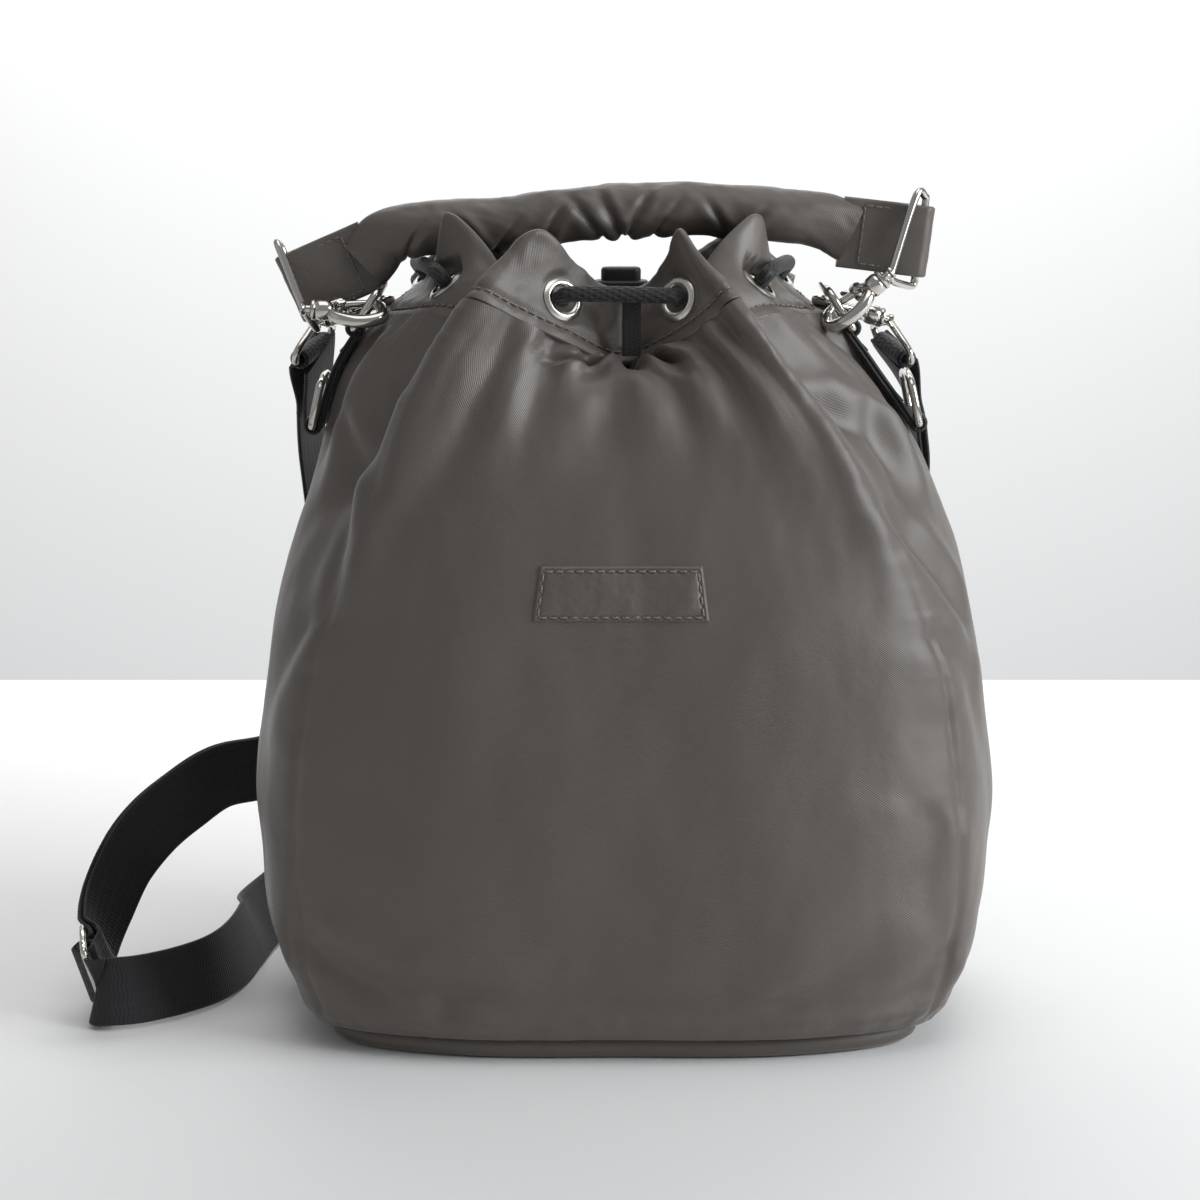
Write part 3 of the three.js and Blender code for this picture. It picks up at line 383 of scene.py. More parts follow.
class Wave:
    """A socket that can be used in sums."""

    def __init__(self, shader, socket):
        self.shader = shader
        self.socket = socket

    def sum(self, operation, *others):
        made = self.shader.tree.nodes.new("ShaderNodeMath")
        made.operation = operation
        for socket, value in zip(made.inputs, (self, *others)):
            self.shader.put(socket, value)
        return Wave(self.shader, made.outputs[0])

    def swapped(self, operation, other):
        made = self.shader.tree.nodes.new("ShaderNodeMath")
        made.operation = operation
        made.inputs[0].default_value = other
        self.shader.put(made.inputs[1], self)
        return Wave(self.shader, made.outputs[0])

    def __add__(self, other):
        return self.sum("ADD", other)

    def __radd__(self, other):
        return self.sum("ADD", other)

    def __sub__(self, other):
        return self.sum("SUBTRACT", other)

    def __rsub__(self, other):
        return self.swapped("SUBTRACT", other)

    def __mul__(self, other):
        return self.sum("MULTIPLY", other)

    def __rmul__(self, other):
        return self.sum("MULTIPLY", other)

    def sin(self):
        return self.sum("SINE")

    def absolute(self):
        return self.sum("ABSOLUTE")

    def power(self, other):
        return self.sum("POWER", other)


def colour(r, g, b):
    """A colour given as it looks on a screen, from 0 to 255."""
    def straight(c):
        c = c / 255
        return c / 12.92 if c <= 0.04045 else ((c + 0.055) / 1.055) ** 2.4
    return (straight(r), straight(g), straight(b), 1.0)


# ---------------------------------------------------------------- finishes
def toned(tint, share):
    """A colour made lighter or darker."""
    return tuple(min(c * share, 1) for c in tint[:3]) + (1,)


def twill(name, tint, across, along):
    """A dense padded twill: fine diagonal ribs, a soft mottled sheen and faint wear."""
    s = Shader(name)
    u, v = s.weave_point()
    point = s.object_point()
    rib = (u * across + v * along).sin() * 0.5 + 0.5
    thread = (u * across * 0.5 - v * along * 1.7).sin() * 0.5 + 0.5
    cloudy = s.grain(point, 14, 4)
    fine = s.grain(point, 900, 2)
    weave = rib * 0.7 + thread * 0.3
    base = s.mix(cloudy, toned(tint, 0.86), toned(tint, 1.12))
    shade = s.mix(weave * 0.35 + fine * 0.3, toned(tint, 0.7), base)
    height = weave * 0.8 + fine * 0.5
    normal = s.bump(height, 0.4, 0.0002)
    dents = s.bump(s.grain(point, 46, 3), 0.22, 0.0018, normal)
    roughness = 0.4 + cloudy * 0.12 - rib * 0.05
    return s.finish(Base_Color=shade, Roughness=roughness, Sheen_Weight=0.32, Sheen_Roughness=0.35,
                    Specular_IOR_Level=0.7, Normal=dents)


def webbing_cloth(name, tint, ribs):
    """Ribbed woven webbing."""
    s = Shader(name)
    u, v = s.weave_point()
    point = s.object_point()
    rib = (u * ribs).sin() * 0.5 + 0.5
    pick = (v * 4200.0 + (u * ribs * 0.5).sin() * 1.6).sin() * 0.5 + 0.5
    fuzz = s.grain(point, 1200, 2)
    weave = rib * 0.4 + pick * 0.6
    shade = s.mix(weave * 0.6 + fuzz * 0.3, toned(tint, 0.45), tint)
    normal = s.bump(weave + fuzz * 0.3, 0.55, 0.00035)
    return s.finish(Base_Color=shade, Roughness=0.62, Sheen_Weight=0.15, Specular_IOR_Level=0.4,
                    Normal=normal)


def braid(name, tint):
    """A round braided cord: crossing slanted strands."""
    s = Shader(name)
    u, v = s.weave_point()
    one = (u * 50.265 + v * 1500.0).sin() * 0.5 + 0.5
    other = (u * 50.265 - v * 1500.0).sin() * 0.5 + 0.5
    fuzz = s.grain(s.object_point(), 1500, 2)
    strand = one.sum("MAXIMUM", other)
    shade = s.mix(strand * 0.8 + fuzz * 0.2, toned(tint, 0.3), tint)
    normal = s.bump(strand + fuzz * 0.2, 0.8, 0.0005)
    return s.finish(Base_Color=shade, Roughness=0.55, Sheen_Weight=0.1, Specular_IOR_Level=0.45,
                    Normal=normal)


def metal(name, tint, rough):
    """Polished plated metal with light handling marks."""
    s = Shader(name)
    point = s.object_point()
    smear = s.grain(point, 90, 4)
    speck = s.ramp(s.grain(point, 700, 2), 0.62, 0.75)
    shade = s.mix(smear, tint, toned(tint, 0.88))
    normal = s.bump(smear, 0.05, 0.0004)
    roughness = rough + smear * 0.1 + speck * 0.12
    return s.finish(Base_Color=shade, Roughness=roughness, Metallic=1.0, Normal=normal)


def plastic(name, tint, rough):
    """Moulded plastic with a fine grain."""
    s = Shader(name)
    grain = s.grain(s.object_point(), 1400, 2)
    return s.finish(Base_Color=tint, Roughness=rough + grain * 0.1, Normal=s.bump(grain, 0.12, 0.0002))


def thread(name, tint):
    """Twisted sewing thread."""
    s = Shader(name)
    u, v = s.weave_point()
    twist = (u * 12.566 + v * 5200.0).sin() * 0.5 + 0.5
    shade = s.mix(twist, toned(tint, 0.6), tint)
    return s.finish(Base_Color=shade, Roughness=0.6, Normal=s.bump(twist, 0.5, 0.0002))


def plain_matt(name, tint, rough=0.9):
    s = Shader(name)
    cloudy = s.grain(s.object_point(), 3, 2)
    shade = s.mix(cloudy, tint, toned(tint, 0.985))
    return s.finish(Base_Color=shade, Roughness=rough, Specular_IOR_Level=0.3)


def finishes():
    """All finishes by name, made once."""
    if not FINISH:
        settings = bpy.context.scene.bag_settings
        FINISH.update(
            twill=twill("brown-grey twill", tuple(settings.cloth_colour), 7000.0, 7000.0),
            lining=twill("black lining cloth", colour(32, 31, 31), 6400.0, 6400.0),
            webbing=webbing_cloth("black webbing", tuple(settings.webbing_colour), 50.0),
            tape=webbing_cloth("black tape", colour(22, 21, 22), 25.0),
            braid=braid("black braided cord", colour(26, 25, 26)),
            nickel=metal("polished nickel", tuple(settings.metal_colour), 0.08),
            pale_nickel=metal("satin nickel", colour(214, 210, 202), 0.2),
            plastic=plastic("black plastic", colour(27, 27, 28), 0.42),
            thread=thread("grey thread", colour(122, 114, 106)),
            black_thread=thread("black thread", colour(30, 29, 30)),
        )
    return FINISH


FINISH = {}


def place(thing, body, nodes, slot):
    """Lets a piece ride on its body and stand for its nodes."""
    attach(thing, body)
    if nodes:
        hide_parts(*nodes)
    return thing


# ---------------------------------------------------------------- stitches
def stitched(shape, line, normals, length=2.3, space=0.9, radius=0.32, lift=0.1):
    """Adds a row of stitches that sit on a line, each end dipping into the cloth."""
    line = np.asarray(line, float)
    normals = unit(normals)
    gaps = np.linalg.norm(np.diff(line, axis=0), axis=1)
    along = np.concatenate([[0], np.cumsum(gaps)])
    count = max(int(along[-1] // (length + space)), 1)
    for k in range(count):
        begin = (k + 0.5) * along[-1] / count - length / 2
        where = begin + length * np.array([0, 0.2, 0.5, 0.8, 1])
        points = np.stack([np.interp(where, along, line[:, i]) for i in range(3)], 1)
        up = np.stack([np.interp(where, along, normals[:, i]) for i in range(3)], 1)
        rise = np.array([-0.45, 0.12, 0.2, 0.12, -0.45])[:, None] * radius + lift
        shape.tube(points + up * rise, radius, sides=6, ends=False)


# ---------------------------------------------------------------- the bag's skin
# Each crease runs between two places, given as station round the bag and share of the height,
# with its depth and half width in millimetres.
CREASES = [
    ((0.05, 1.0), (0.1, 0.9), 3.4, 2.6), ((0.2, 0.99), (0.85, 0.925), 3.0, 3.0),
    ((-0.2, 0.99), (-0.95, 0.93), 2.6, 3.0), ((0.45, 1.0), (0.5, 0.84), 2.4, 3.4),
    ((-0.5, 1.0), (-0.42, 0.82), 2.4, 3.6), ((0.95, 1.0), (0.85, 0.74), 1.8, 5.0),
    ((-0.95, 1.0), (-0.9, 0.7), 1.8, 5.0), ((1.5, 1.0), (1.62, 0.66), 2.2, 4.5),
    ((-1.45, 1.0), (-1.6, 0.62), 2.2, 4.5), ((0.28, 0.9), (0.5, 0.72), 1.6, 4.0),
    ((-0.2, 0.92), (-0.3, 0.7), 1.5, 5.0), ((-1.3, 0.13), (-0.6, 0.075), 1.6, 5.0),
    ((0.8, 0.08), (1.55, 0.15), 1.8, 5.0), ((-0.2, 0.09), (0.5, 0.07), 1.0, 5.0),
    ((1.75, 0.3), (1.5, 0.2), 1.6, 5.0), ((-2.35, 0.86), (-3.1, 0.6), 3.0, 5.0),
    ((-2.5, 0.7), (-2.05, 0.5), 2.4, 4.0), ((-3.0, 0.78), (-2.45, 0.58), 2.2, 4.5),
    ((-2.3, 0.52), (-3.0, 0.38), 1.8, 6.0), ((2.3, 0.86), (3.0, 0.62), 3.0, 5.0),
    ((2.2, 0.66), (2.85, 0.44), 2.6, 4.5), ((2.9, 0.8), (2.4, 0.62), 2.2, 4.5),
    ((2.1, 0.5), (2.7, 0.33), 2.0, 6.0), ((3.4, 0.95), (3.5, 0.72), 2.4, 4.0),
    ((-3.4, 0.95), (-3.5, 0.7), 2.4, 4.0), ((4.6, 0.95), (4.5, 0.7), 2.4, 4.0),
    ((-4.6, 0.95), (-4.5, 0.7), 2.4, 4.0), ((5.4, 0.9), (5.0, 0.6), 2.6, 5.0),
    ((-5.4, 0.9), (-5.0, 0.6), 2.6, 5.0), ((6.5, 1.0), (6.6, 0.74), 2.2, 4.5),
    ((7.3, 1.0), (7.1, 0.8), 2.6, 3.4), ((7.8, 1.0), (7.7, 0.84), 3.0, 3.0),
    ((-7.4, 1.0), (-7.2, 0.78), 2.6, 3.4), ((-6.6, 1.0), (-6.7, 0.72), 2.2, 4.5),
    ((7.0, 0.12), (6.2, 0.08), 1.6, 5.0), ((-7.0, 0.12), (-6.2, 0.08), 1.6, 5.0),
    ((-1.95, 0.17), (-1.25, 0.05), 2.6, 5.5), ((1.95, 0.16), (1.4, 0.05), 2.2, 5.5),
    ((-1.0, 0.1), (-1.1, 0.035), 1.4, 3.0), ((8.0, 0.6), (7.5, 0.42), 1.4, 7.0),
    ((-4.0, 0.3), (-3.2, 0.2), 1.6, 7.0), ((4.0, 0.3), (3.2, 0.2), 1.6, 7.0),
]
STATION_WIDTH = 36
FOLD_DEPTH = 8.5
FOLD_PLACE = 0.45
FOLD_WIDTH = 0.32
CORNERS = (2, 6, 10, 14)
LEADING_CORNERS = (2, 10)
STITCH_LINE = 0.16
FLOOR_TOP = 8.1


def creased(station, v):
    """The valleys and soft banks of the creases, in millimetres."""
    total = np.zeros_like(v)
    for (s0, v0), (s1, v1), depth, width in CREASES:
        x = from_station(station, s0) * STATION_WIDTH
        y = (v - v0) * SEAM_HEIGHT
        dx, dy = (s1 - s0) * STATION_WIDTH, (v1 - v0) * SEAM_HEIGHT
        size = math.hypot(dx, dy)
        along = (x * dx + y * dy) / size
        bow = 0.08 * size * np.sin(np.clip(along / size, 0, 1) * math.pi)
        off = (y * dx - x * dy) / size - bow
        width = width * (1 + 0.5 * np.clip(along / size, 0, 1))
        taper = smooth(-0.15 * size, 0.1 * size, along) * (1 - smooth(0.5 * size, 1.08 * size, along))
        banks = 0.75 * bump(off - 1.9 * width, 1.3 * width), 0.45 * bump(off + 2.0 * width, 1.4 * width)
        shape = -bump(off, width) + banks[0] + banks[1]
        total += depth * taper * shape
    return total


def body_relief(u, v, points):
    """How far the padded cloth stands out from the plain form, in millimetres."""
    station = u * STATIONS
    relief = 2.0 * ripple(points, 0.010, 3.1) * smooth(0.0, 0.12, v)
    relief += 0.5 * ripple(points * [1, 1, 0.45], 0.035, 9.7)
    gather = smooth(0.66, 1.0, v)
    fan = ripple(np.stack([station * 0.9, v * 1.1, 0 * v], -1), 1.0, 5.3)
    fine = ripple(np.stack([station * 2.6, v * 2.2, 0 * v + 4], -1), 1.0, 1.9)
    relief += gather * (2.0 * fan + 1.2 * fine)
    relief += creased(station, v)
    relief += 1.6 * bump(v - 0.035, 0.03)
    sewn = ripple(np.stack([station * 6.0, v * 12, 0 * v + 9], -1), 1.0, 2.9)
    relief += 0.9 * sewn * bump(v - 0.01, 0.045)
    for corner in CORNERS:
        away = from_station(station, corner)
        inward = away if corner in LEADING_CORNERS else -away
        fold = smooth(0.4, 0.85, v)
        relief -= FOLD_DEPTH * fold * bump(inward - FOLD_PLACE, FOLD_WIDTH)
        relief += 2.8 * fold * bump(inward + 0.14, 0.2)
        depth = 1.1 * smooth(0.0, 0.06, v) * (1 - 0.75 * smooth(0.42, 0.6, v))
        relief -= depth * bump(away, 0.05)
        pucker = ripple(np.stack([0 * v, v * 30, 0 * v + corner], -1), 1.0, 7.7)
        relief += 0.7 * pucker * bump(away, 0.2)
    return relief


def foot_rows():
    """The base from its middle out to the side wall: share of the outline, and height."""
    return [(0.02, 0.0), (0.3, 0.0), (0.6, 0.0), (0.82, 0.0), (0.9, 0.15),
            (0.93, 1.0), (0.945, 2.4), (0.95, 4.6), (0.945, 6.4), (0.935, 7.6)]


def skin_points(around=512, up=190):
    """The outer skin from the centre of the base up to the collar seam."""
    u = np.arange(around) / around
    edge = spline(SECTION_RINGS[0], u, True)
    rows = []
    for share, height in foot_rows():
        ring = edge * [share, share, 0]
        rows.append(ring + [0, 0, height])
    v = np.linspace(0.004, 1, up)
    uu, vv = np.meshgrid(u, v)
    face = body_face(uu, vv)
    normal = outward(body_face, uu, vv)
    relief = body_relief(uu, vv, face)
    relief *= smooth(-0.02, 0.05, vv)
    face = face + normal * relief[..., None]
    return np.concatenate([np.array(rows), face]), len(rows), normal


def body_piece():
    """The padded body: the four panels and the base in one sewn skin with an inside face."""
    points, base_rows, normal = skin_points()
    wall = points[base_rows:]
    inner = (wall - normal * FABRIC)[::-1]
    floor = np.array([inner[-1] * [s, s, 0] + [0, 0, FLOOR_TOP] for s in (0.97, 0.6, 0.02)])
    full = np.concatenate([points, inner, floor])
    around = full.shape[1]
    reach = distances(full[:, 0]) * MM
    shape = Shape()
    shape.grid(full, lambda i, j: (i / around * 0.72, reach[j]), True)
    thing = shape.build("bag_body", [finishes()["twill"]], 60)
    tidy_closed(thing)
    panels = ["front_panel", "right_gusset", "back_panel", "left_gusset", "base_pad"]
    return place(thing, "bag", panels, "twill")


def collar_offset(u, v, points):
    """The collar's puckers: a drawn-in seam with a ridge over it, and creases that run up from it."""
    station = u * STATIONS
    relief = 0.9 * ripple(points, 0.05, 2.2)
    relief += 0.8 * ripple(np.stack([station * 2.1, v * 1.4, 0 * v + 2], -1), 1.0, 6.6)
    for corner in CORNERS:
        away = from_station(station, corner)
        inward = away if corner in LEADING_CORNERS else -away
        relief -= FOLD_DEPTH * bump(inward - FOLD_PLACE, FOLD_WIDTH) * (1 - 0.35 * smooth(0.3, 1.0, v))
        relief += 2.8 * bump(inward + 0.14, 0.2) * (1 - smooth(0.0, 0.8, v))
    relief -= 0.9 * bump(v - STITCH_LINE, 0.05)
    relief += 0.5 * bump(v - 0.3, 0.1)
    relief += 0.35 * bump(v - 0.93, 0.05)
    seat = np.min([abs(from_station(station, k)) for k in range(1, STATIONS, 2)], 0)
    hush = bump(seat, 0.62) * bump(v - 0.5, 0.34)
    return relief * (1 - hush)


# Where a pleat of the collar stands up or folds in: its station, offset and half width in stations.
PLEATS = [
    (3.2, (8, 0, 17), 0.5), (12.8, (-8, 0, 17), 0.5), (5.0, (5, 4, 9), 0.6), (11.0, (-5, 4, 9), 0.6),
    (1.5, (-1, -2, 5), 0.35), (14.5, (1, -2, 5), 0.35), (2.3, (2, 3, -9), 0.32), (13.7, (-2, 3, -9), 0.32),
]


def collar_tips(station, v):
    """How far the pleats stand up above the eyelets or fold in between them, as an offset in millimetres."""
    rise = np.zeros(v.shape + (3,))
    for place_at, offset, width in PLEATS:
        share = bump(from_station(station, place_at), width) * smooth(0.45, 1.0, v)
        rise += share[..., None] * np.array(offset)
    return rise


def collar_rows():
    """The collar's profile: up the outside, over the top edge and down the inside."""
    outer = [(v, 0.0) for v in np.linspace(0.0, 0.965, 40)]
    angles = np.linspace(0.3, math.pi - 0.3, 7)
    turn = [(0.965 + 0.035 * math.sin(a), 0.5 - 0.5 * math.cos(a)) for a in angles]
    inner = [(v, 1.0) for v in np.linspace(0.965, 0.0, 36)]
    return outer + turn + inner


EYELET_BORE = 9.4
EYELET_FLANGE = 15.6


def eyelet_places():
    """The middle of each eyelet and the way it faces."""
    u = (2 * np.arange(8) + 1) / STATIONS
    v = np.full(8, 0.5)
    normal = outward(collar_face, u, v)
    return collar_face(u, v) - normal * FABRIC / 2, normal


def collar_piece():
    """The gathered collar with a hole for each eyelet."""
    around = 640
    u = np.arange(around) / around
    rows = collar_rows()
    v = np.array([r[0] for r in rows])
    depth = np.array([r[1] for r in rows])
    uu, vv = np.meshgrid(u, v)
    face = collar_face(uu, vv)
    normal = outward(collar_face, uu, np.clip(vv, 0.1, 0.9))
    relief = collar_offset(uu, vv, face)
    face = face + normal * (relief - depth[:, None] * FABRIC)[..., None] + collar_tips(uu * STATIONS, vv)
    middles, ways = eyelet_places()
    for middle, way in zip(middles, ways):
        offset = face - middle
        lift = offset @ way
        radial = offset - lift[..., None] * way
        distance = np.linalg.norm(radial, axis=-1)
        flat = (1 - smooth(7.6, 10.5, distance)) * (abs(lift) < 7)
        level = np.where(depth[:, None] > 0.5, -0.95, 0.95)
        face = face + way * (flat * (level - lift))[..., None]
    reach = distances(face[:, 0]) * MM
    shape = Shape()
    loop = np.concatenate([face, face[:1]])
    shape.grid(loop, lambda i, j: (i / around * 0.6, reach[min(j, len(reach) - 1)]), True)
    thing = shape.build("bag_collar", [finishes()["twill"]], 60)
    tidy_closed(thing)
    place(thing, "bag", ["collar"], "twill")
    return thing


def lining_piece():
    """The black lining cup."""
    around, up = 256, 90
    u = np.arange(around) / around
    v = np.linspace(0.03, 0.992, up)
    uu, vv = np.meshgrid(u, v)
    face = body_face(uu, vv)
    normal = outward(body_face, uu, vv)
    slack = 1.0 * ripple(face, 0.03, 8.8) * smooth(0.04, 0.2, vv)
    depth = 5.6 + slack - np.minimum(body_relief(uu, vv, face), 0)
    outer = face - normal * depth[..., None]
    inner = (face - normal * (depth + 0.8)[..., None])[::-1]
    low = np.array([outer[0] * [s, s, 0] + [0, 0, 10.1] for s in (0.02, 0.5, 0.96)])
    high = np.array([inner[-1] * [s, s, 0] + [0, 0, 11.0] for s in (0.96, 0.5, 0.02)])
    full = np.concatenate([low, outer, inner, high])
    shape = Shape()
    shape.grid(full, lambda i, j: (i / around * 0.6, j * 0.003), True)
    thing = shape.build("bag_lining", [finishes()["lining"]], 60)
    tidy_closed(thing)
    return place(thing, "bag", ["lining"], "lining_cloth")


def seam_stitches():
    """The top stitching above the collar seam."""
    shape = Shape()
    u = np.linspace(0, 1, 900)
    v = np.full_like(u, STITCH_LINE)
    face = collar_face(u, v)
    normal = outward(collar_face, u, v)
    line = face + normal * (collar_offset(u, v, face) + 0.2)[:, None]
    stitched(shape, line, normal, 2.3, 1.3, 0.4, 0.16)
    thing = shape.build("collar_stitching", [finishes()["thread"]])
    return place(thing, "bag", [], "twill")


def share_at_height(u, height):
    """The share of the body's rise at which its face reaches a height."""
    v = np.linspace(0, 1, 2000)
    z = body_face(np.full_like(v, u), v)[:, 2]
    return float(np.interp(height, z, v))


LABEL_WIDTH = 57
LABEL_HEIGHT = 19
LABEL_CENTRE_HEIGHT = 170
LABEL_LEFT_SHARE = 0.53
LABEL_INSET = 1.7


def label_piece():
    """The blank patch on the front and its stitching."""
    width, height, centre = LABEL_WIDTH, LABEL_HEIGHT, LABEL_CENTRE_HEIGHT
    share = share_at_height(0, centre)
    turn = width / (body_face(1 / STATIONS, share)[0] * STATIONS)
    rise = share_at_height(0, centre + height / 2) - share_at_height(0, centre - height / 2)
    columns, rows = 120, 44
    a = np.linspace(0, 1, columns)
    b = np.linspace(0, 1, rows)
    aa, bb = np.meshgrid(a, b)
    u = (aa - LABEL_LEFT_SHARE) * turn
    v = share + (bb - 0.5) * rise
    face = body_face(u, v)
    normal = outward(body_face, u, v)
    relief = body_relief(u % 1, v, face)
    rim = np.minimum(np.minimum(aa, 1 - aa) * width, np.minimum(bb, 1 - bb) * height)
    swell = 0.9 * smooth(0.1, 0.7, rim) - 0.55 * bump(rim - 1.7, 0.6) + 0.3 * smooth(2.5, 6, rim)
    swell += 0.25 * ripple(face, 0.16, 4.4)
    top = face + normal * (relief + 0.15 + swell)[..., None]
    under = face + normal * (relief - 0.6)[..., None]
    shape = Shape()
    wide = lambda i, j: (i / columns * width * MM, j / rows * height * MM)
    shape.grid(top, wide)
    shape.grid(under, wide, flip=True)
    for edge in (np.stack([under[0], top[0]]), np.stack([top[-1], under[-1]]),
                 np.stack([top[:, 0], under[:, 0]]), np.stack([under[:, -1], top[:, -1]])):
        shape.grid(edge, lambda i, j: (i * 0.0004, j * 0.0008))
    patch = shape.build("front_patch", [finishes()["twill"]], 60)
    tidy_closed(patch)
    place(patch, "bag", ["label_patch"], "twill")
    ia, ib = LABEL_INSET / width, LABEL_INSET / height
    steps = 60
    t = np.linspace(0, 1, steps)
    still = np.ones_like(t)
    a = np.concatenate([ia + (1 - 2 * ia) * t, (1 - ia) * still, 1 - ia - (1 - 2 * ia) * t, ia * still])
    b = np.concatenate([ib * still, ib + (1 - 2 * ib) * t, (1 - ib) * still, 1 - ib - (1 - 2 * ib) * t])
    u = (a - LABEL_LEFT_SHARE) * turn
    v = share + (b - 0.5) * rise
    face = body_face(u, v)
    normal = outward(body_face, u, v)
    line = face + normal * (body_relief(u % 1, v, face) + 0.62)[:, None]
    sewing = Shape()
    for k in range(4):
        part = slice(k * steps, (k + 1) * steps)
        stitched(sewing, line[part], normal[part], 2.3, 1.2, 0.42, 0.16)
    return place(sewing.build("patch_stitching", [finishes()["thread"]]), "bag", [], "twill")


def eyelet_pieces():
    """The eight plated eyelets."""
    middles, ways = eyelet_places()
    for i, (middle, way) in enumerate(zip(middles, ways)):
        shape = Shape()
        bore, rim = EYELET_BORE / 2, EYELET_FLANGE / 2
        crown = [(bore, -1.2), (bore, 1.2), (bore + 0.25, 1.75), (bore + 0.9, 2.15), (bore + 1.6, 2.2),
                 (rim - 0.6, 1.75), (rim, 1.3), (rim - 0.2, 1.12), (bore + 0.8, 1.05), (bore + 0.55, 0.8)]
        profile = crown[1:] + [(r, -h) for r, h in reversed(crown[1:])] + [crown[1]]
        shape.turned(profile, middle, way, 56)
        thing = shape.build(f"eyelet_ring_{i + 1}", [finishes()["pale_nickel"]], 40)
        tidy_closed(thing)
        place(thing, "bag", [f"eyelet_{i + 1}"], "nickel")


# ---------------------------------------------------------------- rings, tabs and hooks
RING_WIRE = 3
RING_HEIGHT = 18
RING_HALF = 15
RING_LEAN = 33
RING_REST = 12
TAB_TOP = 253
TAB_FOOT = 219
TAB_LIFT = 1.2
WEBBING = 1.5
WEBBING_WIDTH = 25
GAP = 0.4
LEG_HEIGHT = RING_HEIGHT * 0.4
HOOK_REACH = 26
HOOK_WIRE = 3.4
GRIP = HOOK_REACH - HOOK_WIRE / 2 - RING_WIRE / 2 - 3.5
BAIL_WIRE = 2.8
BAIL_WIDTH = 31
NECK = np.array([-2.6, 0, 0])
PIVOT = np.array([10.4, 0, 3.5])


def ribbon(shape, middle, across, normal, width, thickness, slot=0, closed=False, cells=14, relief=None):
    """Adds a flat strip with rounded edges that follows a line."""
    middle, across, normal = (np.asarray(x, float) for x in (middle, across, normal))
    a = np.linspace(-0.5, 0.5, cells)
    half = thickness / 2
    edge = np.radians([-60, 0, 60])
    flat = width / 2 - half
    top = [(2 * s * flat, half) for s in a]
    right = [(flat + half * math.cos(e), -half * math.sin(e)) for e in edge]
    under = [(-2 * s * flat, -half) for s in a]
    left = [(-flat - half * math.cos(e), half * math.sin(e)) for e in edge]
    section = np.array(top + right + under + left)
    points = middle[:, None] + across[:, None] * section[None, :, :1] + normal[:, None] * section[None, :, 1:]
    if relief is not None:
        points = points + normal[:, None] * relief(points)[..., None] * np.sign(section[None, :, 1:])
    reach = distances(middle) * MM
    share = section[:, 0] / width + 0.5
    count = len(section)
    base = shape.grid(points, lambda i, j: (share[i % count], reach[j]), True, slot, flip=True)
    if not closed:
        shape.cap([base + i for i in range(count)], slot)
        shape.cap([base + (len(points) - 1) * count + i for i in reversed(range(count))], slot)


def hoop(shape, middle, way, radius, width, thickness, slot=0):
    """Adds a strip that goes round a bar."""
    way = unit(way)
    a = unit(np.cross(way, (0.2, 0.5, 0.9)))
    b = np.cross(way, a)
    turn = np.linspace(0, 2 * math.pi, 41)[:, None]
    ring = np.cos(turn) * a + np.sin(turn) * b
    line = np.asarray(middle) + ring * radius
    ribbon(shape, line, np.repeat(way[None], 41, 0), ring, width, thickness, slot, True)


def side_place(sign):
    """The bars of the two D-rings of a side and the way its upper ring stands."""
    u = (12 if sign < 0 else 4) / STATIONS
    def stand_off(height, distance):
        v = share_at_height(u, height)
        return body_face(u, v) + outward(body_face, u, v) * distance
    bore = RING_WIRE / 2 + GAP
    loops = [stand_off(h, bore + WEBBING + TAB_LIFT) * [1, 0, 1] for h in (TAB_TOP, TAB_FOOT)]
    lean = math.radians(RING_LEAN)
    return stand_off, loops, np.array([-sign * math.sin(lean), 0, math.cos(lean)])


def ring_line(middle, up):
    """The closed centre line of a D-ring."""
    half, bow = RING_HALF, RING_HEIGHT
    right = [(half * 0.86, 0), (half * 0.98, bow * 0.1), (half, bow * 0.5), (half * 0.84, bow * 0.86)]
    flat = [(0, 0)] + right + [(0, bow)] + [(-x, y) for x, y in right[::-1]]
    line = spline(flat, np.arange(160) / 160, True)
    return np.asarray(middle) + line[:, :1] * np.array([0, 1, 0]) + line[:, 1:] * np.asarray(up)


